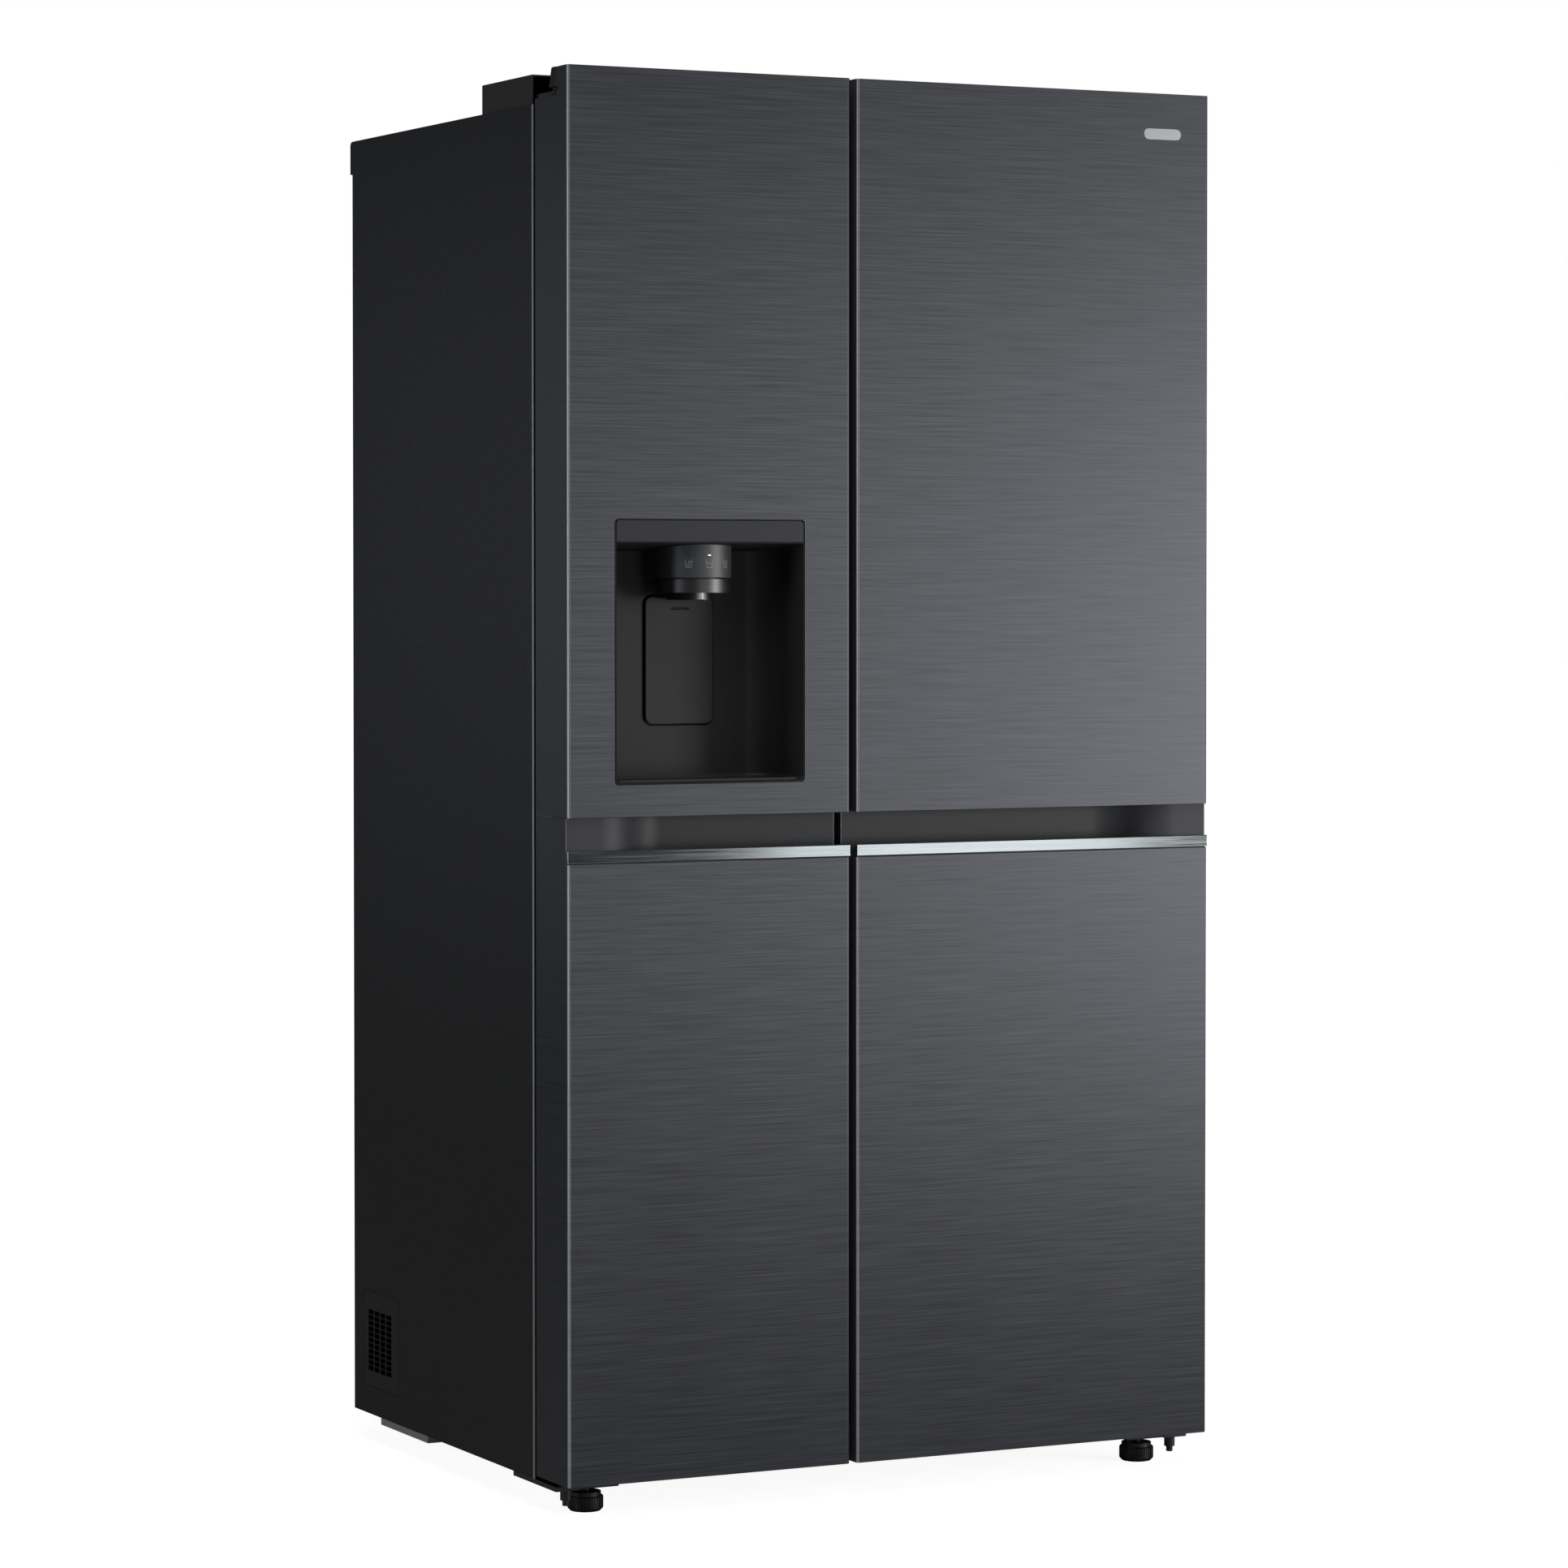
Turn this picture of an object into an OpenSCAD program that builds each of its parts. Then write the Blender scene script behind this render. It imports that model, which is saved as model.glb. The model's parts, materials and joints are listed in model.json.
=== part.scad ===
// Side-by-side refrigerator: narrow freezer door on the left, wide fridge door on the right.
// All sizes in millimetres. X runs to the right, Y to the back, Z up.
// The origin is on the floor, under the middle of the overall box.

/* [Body] */
// Overall width across the doors and the cabinet
body_w = 913; // [900:1:930]
// Overall depth from the door fronts to the rear spacers
body_d = 720; // [712:1:740]
// Height of the door tops above the floor
door_top = 1788; // [1770:1:1810]
// Height of the door bottoms above the floor
door_bottom = 44; // [42:1:50]
// Depth of the metal door boxes
door_t = 98; // [96:1:98]
// Insulated wall thickness of the cabinet
wall_t = 50; // [45:1:52]

/* [Doors] */
// Right edge of the freezer door
freezer_edge = -67.7; // [-72:0.1:-66]
// Left edge of the fridge door
fridge_edge = -58.1; // [-60:0.1:-57]
// Radius of the vertical front door edges
edge_r = 4; // [3:0.5:6]
// Sheet thickness of the door skins
skin_t = 1; // [0.6:0.1:1.5]
// Distance of the hinge axes from the door fronts
hinge_y = 57; // [56:0.5:58]
// Distance of the hinge axes from the cabinet sides
hinge_in = 21.5; // [21:0.5:22]
// Radius of the hinge pins
hinge_pin_r = 5; // [4:0.5:6]

/* [Pocket handles] */
// Height of the lower edge of the upper door panels
pocket_top = 867; // [855:1:875]
// Height of the bright strip
trim_h = 14.7; // [12:0.1:18]
// Depth of the finger pocket
pocket_depth = 45; // [40:1:50]

/* [Dispenser] */
// Middle of the dispenser
disp_x = -262.3; // [-265:0.1:-260]
// Width of the dispenser frame
disp_w = 262.5; // [250:0.5:270]
// Lower edge of the dispenser frame
disp_z0 = 906.5; // [902:0.1:911]
// Upper edge of the dispenser frame
disp_z1 = 1234; // [1230:0.5:1237]
// Depth of the niche
niche_d = 95; // [90:1:96]
// Radius of the selector drum
drum_r = 48; // [46:0.5:50]
// Width of the lever pad
lever_w = 94; // [80:1:98]

/* [Badge] */
// Middle of the badge plate across the fridge door
badge_x = 387; // [370:1:400]
// Height of the middle of the badge plate
badge_z = 1735.5; // [1700:0.5:1745]
// Width of the badge plate
badge_w = 56; // [40:1:70]
// Height of the badge plate
badge_h = 15; // [10:0.5:20]

/* [Feet] */
// Radius of the levelling feet
foot_r = 22.5; // [20:0.5:24]
// Radius of the rear rollers
roller_r = 17; // [14:0.5:18]

/* [Hidden] */
$fn = 96;
gap = 0.05;                          // running clearance on a radius
cut = 1;                             // how far a cutting solid reaches past a face
hw = body_w / 2;
yf = -body_d / 2;                    // plane of the door fronts

// Colours that several parts share
STEEL = [0.30, 0.31, 0.32];
BLACK = [0.07, 0.07, 0.07];
CHARCOAL = [0.13, 0.13, 0.14];
WHITE = [0.90, 0.91, 0.92];
FOAM = [0.86, 0.80, 0.62];
CLEAR = [0.80, 0.85, 0.88, 0.6];

// Cabinet shell
door_gap = 8.3;
cab_y0 = door_t + door_gap;          // front plane of the cabinet, from the door fronts
cab_y1 = body_d - 12.5;              // rear edge of the side panels
cab_z0 = 39;
cab_top = door_top - 40;
case_t = 1;
liner_t = 2;
flange = 28.5;                       // front return of the cabinet sheet
foam_z0 = cab_z0 + 21;
back_y = cab_y1 - 3;                 // front face of the rear sheet
rear_trim_out = 9.5;
rear_trim_h = 44;
rear_trim_r = 6;
rear_trim_x = hw - 0.5;

// Compartments
in_x = hw - wall_t;                  // half width to the compartment walls
frz_x0 = -in_x;
frz_x1 = -88;
frg_x0 = -38;
frg_x1 = in_x;
in_z0 = 100;
in_z1 = cab_top - wall_t;
in_y1 = cab_y1 - 67;
step_y = 470;                        // back wall below the step over the machine room
step_z = 300;
face_in = 12;                        // how far a liner's face runs past its compartment
face_z0 = in_z0 - 22;
duct_y = in_y1 - 74;
duct_t = 3;
ledge_w = 10;
ledge_t = 8;

// Shelves and drawers
frz_shelves = [500, 760, 1020, 1280, 1500];
frg_shelves = [500, 740, 970, 1200, 1430];
shelf_y0 = 214;
frz_shelf_y1 = duct_y - 6;
frg_shelf_y1 = in_y1 - 30;
shelf_h = 12;
shelf_rim = 12;
pane_in = 7;
pane_front = 6;
pane_z0 = 6;
pane_z1 = 11;
drawer_y = 222;
drawer_wall = 3;
drawer_front_t = 6;
grip_w = 140;
low_drawer_z = [in_z0 + 4, step_z - 6];
high_drawer_z = [step_z + 12, step_z + 184];

// Machine room
room_y0 = 480;
room_z1 = 270;
room_cover_z0 = cab_z0 + 4;
vent_y0 = 547.8;
vent_y1 = 674.5;
vent_z0 = 76;
vent_z1 = 205;
vent_r = 6;
vent_line = 0.6;                     // groove between the grille and the case
vent_lap = 4;
slot_y0 = vent_y0 + 28.7;
slot_z0 = vent_z0 + 21.7;
slot_py = 21.1;
slot_w = 17.6;
slot_pz = 7.55;
slot_h = 6.2;
port_x = 400;
gland_z = 190;
gland_r = 9;
inlet_z = 250;
inlet_r = 11;
tray_z0 = 29;
tray_t = 2;
comp_x = 190;
comp_y = 561;
comp_r = 78;
coil_x0 = -410;
coil_x1 = -205;
coil_y0 = 500;
coil_y1 = 680;
coil_z1 = 232;
fan_x = -150;
fan_y = 592;
fan_z = 160;
fan_r = 62;
evap_z0 = 330;
evap_z1 = 720;
evfan_x = -247;
evfan_z = 820;
evfan_r = 52;
axle_r = 3;

// Hinges, feet and rollers
hinge_x = hw - hinge_in;
leaf_x = hinge_x - 8;                // middle of the upper hinge leaf
leaf_w = 44;
leaf_t = 4;
arm_w = 24;
arm_z0 = door_top - 32;
arm_z1 = arm_z0 + 5;
screw_ys = [150, 240];
screw_r = 2.5;
screw_len = 13;
notch_w = 60;
notch_y = 27;
notch_z = door_top - 34;
pin_depth = 26;
cover_t = 3;
cover_top = door_top - 2;
foot_x = 398;
foot_y = 80;
foot_h = 24;
stud_r = 5;
plate_z0 = 32;
plate_z1 = 38;
plate_y1 = 177;
roller_x = 346;
roller_y = 645;
fork_w = 30;
fork_t = 3;

// Doors
liner_y = door_t - 2;                // back face of the foam behind the flat of the door liner
plug_y = cab_y0 + 21.7;              // deepest face of the door dykes
mid_y = door_t + 6;                  // recessed face between the dykes
dyke_w = 28;
plug_z0 = in_z0 + 6;
plug_z1 = in_z1 - 6;
fzp_x0 = frz_x0 + 10;
fzp_x1 = frz_x1 - 12;
fgp_x0 = frg_x0 + 16;
fgp_x1 = frg_x1 - 10;
cap_t = 4;
cap_foot_t = 3;
block_w = notch_w + 2;               // hinge block at the top corner
block_y = notch_y - 2;
block_z0 = notch_z - pin_depth - 4;
heel_w = 45;                         // hinge block at the bottom corner
heel_r = 16;
bin_wall = 2.5;
bin_y1 = plug_y + 62;
low_bin_y1 = plug_y + 37;
frz_bins = [140, 500, 700];
frg_bins = [140, 500, 710, 930, 1160, 1400];
low_bin_h = 120;
bin_h = 95;

// Pocket handles
trim_z1 = pocket_top - 41;
trim_z0 = trim_z1 - trim_h;
trim_t = 4;
trim_in = 0.2;
panel_z = trim_z0 - 1.3;             // top edge of the lower door panels
lip_y = 7;
pocket_z0 = panel_z - 22;
pocket_wall = 3;
pocket_lap = 2;
curve_x0 = 310;
curve_x1 = 410;
curve_r = (pow(curve_x1 - curve_x0, 2) + pow(pocket_depth - lip_y, 2)) / (4 * (pocket_depth - lip_y));
curve_mx = (curve_x0 + curve_x1) / 2;
curve_my = (pocket_depth + lip_y) / 2;

// Dispenser
bulge_z0 = disp_z0 - 24;
bulge_z1 = disp_z1 + 24;
rim = 2.5;
disp_x0 = disp_x - disp_w / 2;
disp_x1 = disp_x + disp_w / 2;
disp_r = 5;
disp_back = niche_d + 2;
niche_z0 = disp_z0 + rim;
niche_z1 = disp_z1 - 29.2;
niche_back_z1 = niche_z1 - 9.8;
niche_fillet = 38;
band_z0 = niche_z1 + 1.2;
band_z1 = disp_z1 - 1.5;
band_t = 8;
drum_y = 52;
drum_z0 = 1161;
ring_z0 = 1143;
ring_z1 = 1160;
ring_r = drum_r - 1.5;
ring_t = 3;
chute_y = 60.5;
chute_r = 29;
chute_wall = 4;
chute_z0 = 1134;
nozzle_y = 31;
nozzle_r = 4.8;
nozzle_bore = 2.6;
lever_z0 = 978;
lever_z1 = 1138.2;
lever_t = 4;
lever_y = niche_d - lever_t;
lever_gap = 2.2;
lever_room = 113;
lever_lap = 2;
pivot_y = niche_d + 6;
pivot_z = lever_z1 - 9;
pivot_r = 3;
pivot_w = lever_w / 2 + lever_gap + 1.5;
ice_wall = 3;

// ---- helpers: y is measured from the door fronts towards the back ----

module blk(x0, x1, y0, y1, z0, z1)
  translate([x0, yf + y0, z0])
    cube([x1 - x0, y1 - y0, z1 - z0]);

// Block between two distances from the middle, on the left for s = -1 and on the right for s = 1
module side_blk(s, x0, x1, y0, y1, z0, z1)
  blk(min(s * x0, s * x1), max(s * x0, s * x1), y0, y1, z0, z1);

module rod_x(x0, x1, y, z, r)
  translate([x0, yf + y, z])
    rotate([0, 90, 0])
      cylinder(h = x1 - x0, r = r);

module rod_y(x, y0, y1, z, r)
  translate([x, yf + y0, z])
    rotate([-90, 0, 0])
      cylinder(h = y1 - y0, r = r);

module rod_z(x, y, z0, z1, r)
  cone_z(x, y, z0, z1, r, r);

module cone_z(x, y, z0, z1, r0, r1)
  translate([x, yf + y, z0])
    cylinder(h = z1 - z0, r1 = r0, r2 = r1);

// Upright bar, square at the back and rounded at its two front edges
module door_bar(x0, x1, y0, y1, r, z0, z1)
  translate([0, 0, z0])
    linear_extrude(z1 - z0) {
      translate([x0, yf + y0 + r])
        square([x1 - x0, y1 - y0 - r]);
      translate([x0 + r, yf + y0])
        square([x1 - x0 - 2 * r, y1 - y0]);
      for (x = [x0 + r, x1 - r])
        translate([x, yf + y0 + r])
          circle(r = r);
    }

// Block with the four edges along X rounded
module round_x(x0, x1, y0, y1, z0, z1, r) {
  blk(x0, x1, y0 + r, y1 - r, z0, z1);
  blk(x0, x1, y0, y1, z0 + r, z1 - r);
  for (y = [y0 + r, y1 - r], z = [z0 + r, z1 - r])
    rod_x(x0, x1, y, z, r);
}

// Block with the four edges along Y rounded
module round_y(x0, x1, z0, z1, y0, y1, r) {
  blk(x0 + r, x1 - r, y0, y1, z0, z1);
  blk(x0, x1, y0, y1, z0 + r, z1 - r);
  for (x = [x0 + r, x1 - r], z = [z0 + r, z1 - r])
    rod_y(x, y0, y1, z, r);
}

// Plate with its two back corners rounded
module round_z(x0, x1, y0, y1, z0, z1, r) {
  blk(x0, x1, y0, y1 - r, z0, z1);
  blk(x0 + r, x1 - r, y0, y1, z0, z1);
  for (x = [x0 + r, x1 - r])
    rod_z(x, y1 - r, z0, z1, r);
}

// Block with a box-shaped hollow that is open on top
module tub(x0, x1, y0, y1, z0, z1, t)
  difference() {
    blk(x0, x1, y0, y1, z0, z1);
    blk(x0 + t, x1 - t, y0 + t, y1 - t, z0 + t, z1 + t);
  }

// Screws of the upper hinge leaves
module screws(z0, z1, r)
  for (s = [-1, 1], y = screw_ys)
    rod_z(s * leaf_x, y, z0, z1, r);

// ---- cabinet ----

module outer_case()
  color([0.10, 0.10, 0.11]) {
    difference() {
      blk(-hw, hw, cab_y0, cab_y1, cab_z0, cab_top);
      blk(-hw + case_t, hw - case_t, cab_y0 + case_t, cab_y1 + cut, cab_z0 - cut, cab_top - case_t);
      blk(-hw + flange, hw - flange, cab_y0 - cut, cab_y0 + 2 * case_t, cab_z0 - cut, cab_top - flange);
      round_x(-hw - cut, -hw + 2 * case_t, vent_y0, vent_y1, vent_z0, vent_z1, vent_r);
      screws(cab_top - 2 * case_t, cab_top + cut, screw_r);
    }
    blk(frz_x1 + face_in, frg_x0 - face_in, cab_y0, cab_y0 + liner_t, face_z0, cab_top - flange);
  }

// Space taken by a compartment, grown by t on all sides
module compartment(x0, x1, t) {
  blk(x0 - t, x1 + t, cab_y0 - cut, step_y + t, in_z0 - t, in_z1 + t);
  blk(x0 - t, x1 + t, cab_y0 - cut, in_y1 + t, step_z - t, in_z1 + t);
}

module cabinet_foam()
  color(FOAM)
    difference() {
      blk(-hw + case_t, hw - case_t, cab_y0 + liner_t, back_y, foam_z0, cab_top - case_t);
      compartment(frz_x0, frz_x1, liner_t);
      compartment(frg_x0, frg_x1, liner_t);
      blk(-hw, hw, room_y0, cab_y1, foam_z0 - cut, room_z1);
      screws(cab_top - screw_len, cab_top, screw_r);
    }

module back_panel()
  color([0.62, 0.64, 0.66])
    blk(-hw + case_t, hw - case_t, back_y, back_y + 1, room_z1, cab_top - case_t);

// Black strip along the upper rear edge, with its outer edge rounded
module rear_top_trim()
  color(BLACK)
    difference() {
      union() {
        blk(-rear_trim_x, rear_trim_x, cab_y1, cab_y1 + rear_trim_out,
            cab_top - rear_trim_h, cab_top - rear_trim_r);
        rod_x(-rear_trim_x, rear_trim_x, cab_y1 + rear_trim_out - rear_trim_r,
              cab_top - rear_trim_r, rear_trim_r);
        blk(-rear_trim_x, rear_trim_x, cab_y1, cab_y1 + rear_trim_out - rear_trim_r,
            cab_top - rear_trim_r, cab_top);
      }
      blk(-hw, hw, cab_y1 - rear_trim_r, cab_y1, cab_top - rear_trim_h, cab_top + cut);
    }

// Inner shell of a compartment with its front face from f0 to f1 and ledges for the shelves
module liner(x0, x1, f0, f1, shelves)
  difference() {
    union() {
      compartment(x0, x1, liner_t);
      blk(f0, f1, cab_y0, cab_y0 + liner_t, face_z0, cab_top - flange);
    }
    difference() {
      compartment(x0, x1, 0);
      for (z = shelves, x = [x0, x1 - ledge_w])
        blk(x, x + ledge_w, shelf_y0, duct_y - 20, z - ledge_t, z);
    }
    blk(f0 - wall_t, f1 + wall_t, 0, cab_y0, 0, door_top);
  }

module freezer_liner()
  color(WHITE)
    liner(frz_x0, frz_x1, -hw + flange, frz_x1 + face_in, frz_shelves);

module fridge_liner()
  color(WHITE)
    liner(frg_x0, frg_x1, frg_x0 - face_in, hw - flange, frg_shelves);

// Floor frame under the foam, front face bar and the two roller forks
module base_frame()
  color([0.35, 0.36, 0.37]) {
    rail = 32;
    difference() {
      blk(-hw + case_t, hw - case_t, cab_y0 + liner_t, back_y, cab_z0 + 1, foam_z0);
      blk(-hw + rail, hw - rail, cab_y0 + 42, cab_y1 - 60, cab_z0, foam_z0 + cut);
    }
    blk(-hw + flange, hw - flange, cab_y0, cab_y0 + liner_t, cab_z0 + 1, face_z0);
    for (s = [-1, 1])
      difference() {
        blk(s * roller_x - fork_w / 2, s * roller_x + fork_w / 2,
            roller_y - 12, roller_y + 22, roller_r - 7, cab_z0 + 1);
        blk(s * roller_x - fork_w / 2 + fork_t, s * roller_x + fork_w / 2 - fork_t,
            roller_y - 30, roller_y + 30, 0, cab_z0 - 2);
      }
    for (s = [-1, 1])
      rod_x(s * roller_x - fork_w / 2 - 1, s * roller_x + fork_w / 2 + 1, roller_y, roller_r, axle_r);
  }

// Slotted plate that snaps into the left side panel from behind
module side_vent_grille()
  color([0.09, 0.09, 0.10])
    difference() {
      union() {
        round_x(-hw, -hw + case_t, vent_y0 + vent_line, vent_y1 - vent_line,
                vent_z0 + vent_line, vent_z1 - vent_line, vent_r - vent_line);
        round_x(-hw + case_t, -hw + 3 * case_t, vent_y0 - vent_lap, vent_y1 + vent_lap,
                vent_z0 - vent_lap, vent_z1 + vent_lap, vent_r + vent_lap);
      }
      for (c = [0:3], k = [0:10])
        blk(-hw - cut, -hw + 3 * case_t + cut,
            slot_y0 + c * slot_py, slot_y0 + c * slot_py + slot_w,
            slot_z0 + k * slot_pz, slot_z0 + k * slot_pz + slot_h);
    }

// Rear cover with ten by eight air slots, two wall spacers and two ports
module machine_room_cover()
  color([0.12, 0.12, 0.13])
    difference() {
      union() {
        blk(-hw + case_t, hw - case_t, cab_y1 - 2, cab_y1 - 0.5, room_cover_z0, room_z1 + 8);
        for (s = [-1, 1])
          blk(s * 330 - 12, s * 330 + 12, cab_y1 - 0.5, body_d, 100, 220);
      }
      for (c = [0:9], k = [0:7])
        blk(-270 + c * 36, -244 + c * 36, cab_y1 - 5, cab_y1 + cut, 90 + k * 18, 97 + k * 18);
      rod_y(port_x, cab_y1 - 10, cab_y1 + 10, gland_z, gland_r);
      rod_y(-port_x, cab_y1 - 10, cab_y1 + 10, inlet_z, inlet_r);
    }

// Sheet tray across the whole width with a narrower tail between the rollers
module compressor_tray()
  color([0.72, 0.73, 0.74]) {
    half = hw - 2;
    tail = 300;
    y0 = step_y - 15;
    y1 = 618;
    tail_y1 = cab_y1 - 10;
    difference() {
      union() {
        blk(-half, half, y0, y1, tray_z0, cab_z0 + 1);
        blk(-tail, tail, y0, tail_y1, tray_z0, cab_z0 + 1);
      }
      blk(-half + tray_t, half - tray_t, y0 + tray_t, y1 - tray_t, tray_z0 + tray_t, cab_z0 + 2);
      blk(-tail + tray_t, tail - tray_t, y0 + tray_t, tail_y1 - tray_t, tray_z0 + tray_t, cab_z0 + 2);
    }
  }

// Pot on a foot plate with four rubber mounts and a pipe stub
module compressor()
  color([0.08, 0.08, 0.09]) {
    plate_z = 50;
    lid_z = 190;
    rod_z(comp_x, comp_y, plate_z, lid_z, comp_r);
    rod_z(comp_x, comp_y, lid_z, lid_z + 15, comp_r - 8);
    rod_z(comp_x, comp_y, lid_z + 15, lid_z + 22, comp_r - 22);
    blk(comp_x - 95, comp_x + 95, comp_y - 45, comp_y + 45, plate_z - 4, plate_z);
    for (x = [-82, 82], y = [-34, 34])
      rod_z(comp_x + x, comp_y + y, tray_z0 + tray_t, plate_z - 4, 9);
    rod_x(comp_x + comp_r - 6, comp_x + comp_r + 60, comp_y - 20, 150, 4);
  }

// Finned tubes between two end plates that stand on the base frame
module condenser_coil()
  color([0.15, 0.15, 0.16]) {
    fins_z0 = foam_z0 + 4;
    for (k = [0:7])
      blk(coil_x0 + 10 + k * 26, coil_x0 + 11 + k * 26, coil_y0, coil_y1, fins_z0, coil_z1);
    for (y = [525, 590, 655], z = [90, 150, 210])
      rod_x(coil_x0, coil_x1, y, z, 4);
    for (x = [coil_x0, coil_x1 - 2])
      blk(x, x + 2, coil_y0, coil_y1, foam_z0, coil_z1);
    blk(coil_x0, coil_x1, coil_y0, coil_y0 + 4, foam_z0, fins_z0);
  }

// Wall with a round opening, a bar across it, and a cup and shaft for the fan
module condenser_fan_shroud()
  color([0.16, 0.16, 0.17]) {
    x0 = fan_x - 12;
    x1 = fan_x - 8;
    cup_r = 22;
    difference() {
      blk(x0, x1, 490, back_y, foam_z0, 262);
      rod_x(x0 - 8, x1 + 8, fan_y, fan_z, fan_r + 4);
    }
    for (y = [500, 610])
      blk(x0, x1, y, y + 24, tray_z0 + tray_t, foam_z0);
    blk(x0, x1, fan_y - fan_r - 6, fan_y + fan_r + 6, fan_z - 6, fan_z + 6);
    difference() {
      rod_x(x0, fan_x + 4, fan_y, fan_z, cup_r);
      rod_x(x1, fan_x + 5, fan_y, fan_z, cup_r - 4);
    }
    rod_x(x1 - cut, fan_x + 22, fan_y, fan_z, axle_r);
  }

// One flat fan blade that stands up along Z, turned by twist about its own length
module blade(start, length, width, twist)
  translate([0, 0, start])
    rotate([0, 0, twist])
      translate([-1, -width / 2, 0])
        cube([2, width, length]);

module condenser_fan()
  color([0.20, 0.20, 0.21])
    difference() {
      union() {
        rod_x(fan_x + 6, fan_x + 20, fan_y, fan_z, 15);
        for (a = [0:72:359])
          translate([fan_x + 13, yf + fan_y, fan_z])
            rotate([a, 0, 0])
              blade(12, fan_r - 15, 32, 28);
      }
      rod_x(fan_x, fan_x + 30, fan_y, fan_z, axle_r + gap);
    }

module evaporator_coil()
  color([0.75, 0.77, 0.79]) {
    y0 = duct_y + 12;
    for (k = [0:8])
      blk(frz_x0 + 24 + k * 33, frz_x0 + 25 + k * 33, y0, in_y1 - 6, evap_z0, evap_z1);
    for (k = [0:5])
      rod_x(frz_x0 + 14, frz_x1 - 14, duct_y + 38, evap_z0 + 40 + k * 62, 4.5);
    for (x = [frz_x0 + 12, frz_x1 - 14])
      blk(x, x + 2, y0, in_y1, evap_z0, evap_z1);
  }

module evaporator_fan()
  color([0.25, 0.25, 0.26])
    difference() {
      union() {
        rod_y(evfan_x, duct_y + 14, duct_y + 28, evfan_z, 14);
        for (a = [0:72:359])
          translate([evfan_x, yf + duct_y + 21, evfan_z])
            rotate([0, a, 0])
              blade(11, evfan_r - 14, 26, 62);
      }
      rod_y(evfan_x, duct_y, duct_y + 40, evfan_z, axle_r + gap);
    }

// Freezer duct wall with its fan shaft and slots, and the fridge air tower
module duct_covers()
  color([0.88, 0.89, 0.90]) {
    front = duct_y - cut;
    back = duct_y + duct_t + cut;
    tower_x0 = 90;
    tower_x1 = 278;
    tower_mid = (tower_x0 + tower_x1) / 2;
    tower_y = in_y1 - 26;
    tower_wall = 2.5;
    difference() {
      blk(frz_x0, frz_x1, duct_y, duct_y + duct_t, step_z, in_z1);
      for (k = [0:8])
        blk(-292 + k * 11, -287 + k * 11, front, back, evfan_z - 45, evfan_z + 45);
      for (z = [1100, 1390, 1590], k = [0:6])
        blk(-307 + k * 18, -295 + k * 18, front, back, z, z + 6);
      for (k = [0:7])
        blk(-307 + k * 16, -297 + k * 16, front, back, step_z + 8, step_z + 16);
    }
    rod_y(evfan_x, duct_y + duct_t - cut, duct_y + 34, evfan_z, axle_r);
    difference() {
      blk(tower_x0, tower_x1, tower_y, in_y1, step_z + 200, in_z1 - 30);
      blk(tower_x0 + tower_wall, tower_x1 - tower_wall, tower_y + tower_wall, in_y1 + cut,
          step_z + 200 + tower_wall, in_z1 - 30 - tower_wall);
      for (z = [600, 840, 1070, 1300, 1530], s = [-1, 1])
        blk(tower_mid + s * 52 - 18, tower_mid + s * 52 + 18, tower_y - cut, tower_y + 6, z, z + 10);
    }
  }

module light_lenses()
  color([0.93, 0.94, 0.96]) {
    blk(-300, -194, 240, 300, in_z1 - 7, in_z1);
    blk(104, 264, 240, 310, in_z1 - 7, in_z1);
  }

module shelf_pane(x0, x1, y1, z)
  blk(x0 + pane_in, x1 - pane_in, shelf_y0 + pane_front, y1 - pane_front, z + pane_z0, z + pane_z1);

module shelf_frame(x0, x1, y1, z)
  difference() {
    blk(x0 + 1.5, x1 - 1.5, shelf_y0, y1, z, z + shelf_h);
    blk(x0 + shelf_rim, x1 - shelf_rim, shelf_y0 + shelf_rim + 2, y1 - shelf_rim,
        z - cut, z + shelf_h + cut);
    shelf_pane(x0, x1, y1, z);
  }

module shelf_frames()
  color([0.70, 0.72, 0.74]) {
    for (z = frz_shelves)
      shelf_frame(frz_x0, frz_x1, frz_shelf_y1, z);
    for (z = frg_shelves)
      shelf_frame(frg_x0, frg_x1, frg_shelf_y1, z);
  }

module shelf_glass()
  color([0.75, 0.85, 0.84, 0.4]) {
    for (z = frz_shelves)
      shelf_pane(frz_x0, frz_x1, frz_shelf_y1, z);
    for (z = frg_shelves)
      shelf_pane(frg_x0, frg_x1, frg_shelf_y1, z);
  }

// Open-topped drawer with a finger recess in its front
module drawer(x0, x1, y1, z)
  color(CLEAR) {
    mid = (x0 + x1) / 2;
    tub(x0 + 6, x1 - 6, drawer_y + drawer_front_t, y1, z[0], z[1] - 12, drawer_wall);
    difference() {
      blk(x0 + 4, x1 - 4, drawer_y, drawer_y + drawer_front_t, z[0], z[1]);
      blk(mid - grip_w / 2, mid + grip_w / 2, drawer_y - cut, drawer_y + 4, z[1] - 26, z[1] - 8);
    }
  }

module freezer_drawer_upper() drawer(frz_x0, frz_x1, duct_y - 14, high_drawer_z);
module freezer_drawer_lower() drawer(frz_x0, frz_x1, step_y - 8, low_drawer_z);
module crisper_upper() drawer(frg_x0, frg_x1, in_y1 - 34, high_drawer_z);
module crisper_lower() drawer(frg_x0, frg_x1, step_y - 8, low_drawer_z);

// ---- hinges, feet and rollers ----

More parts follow.
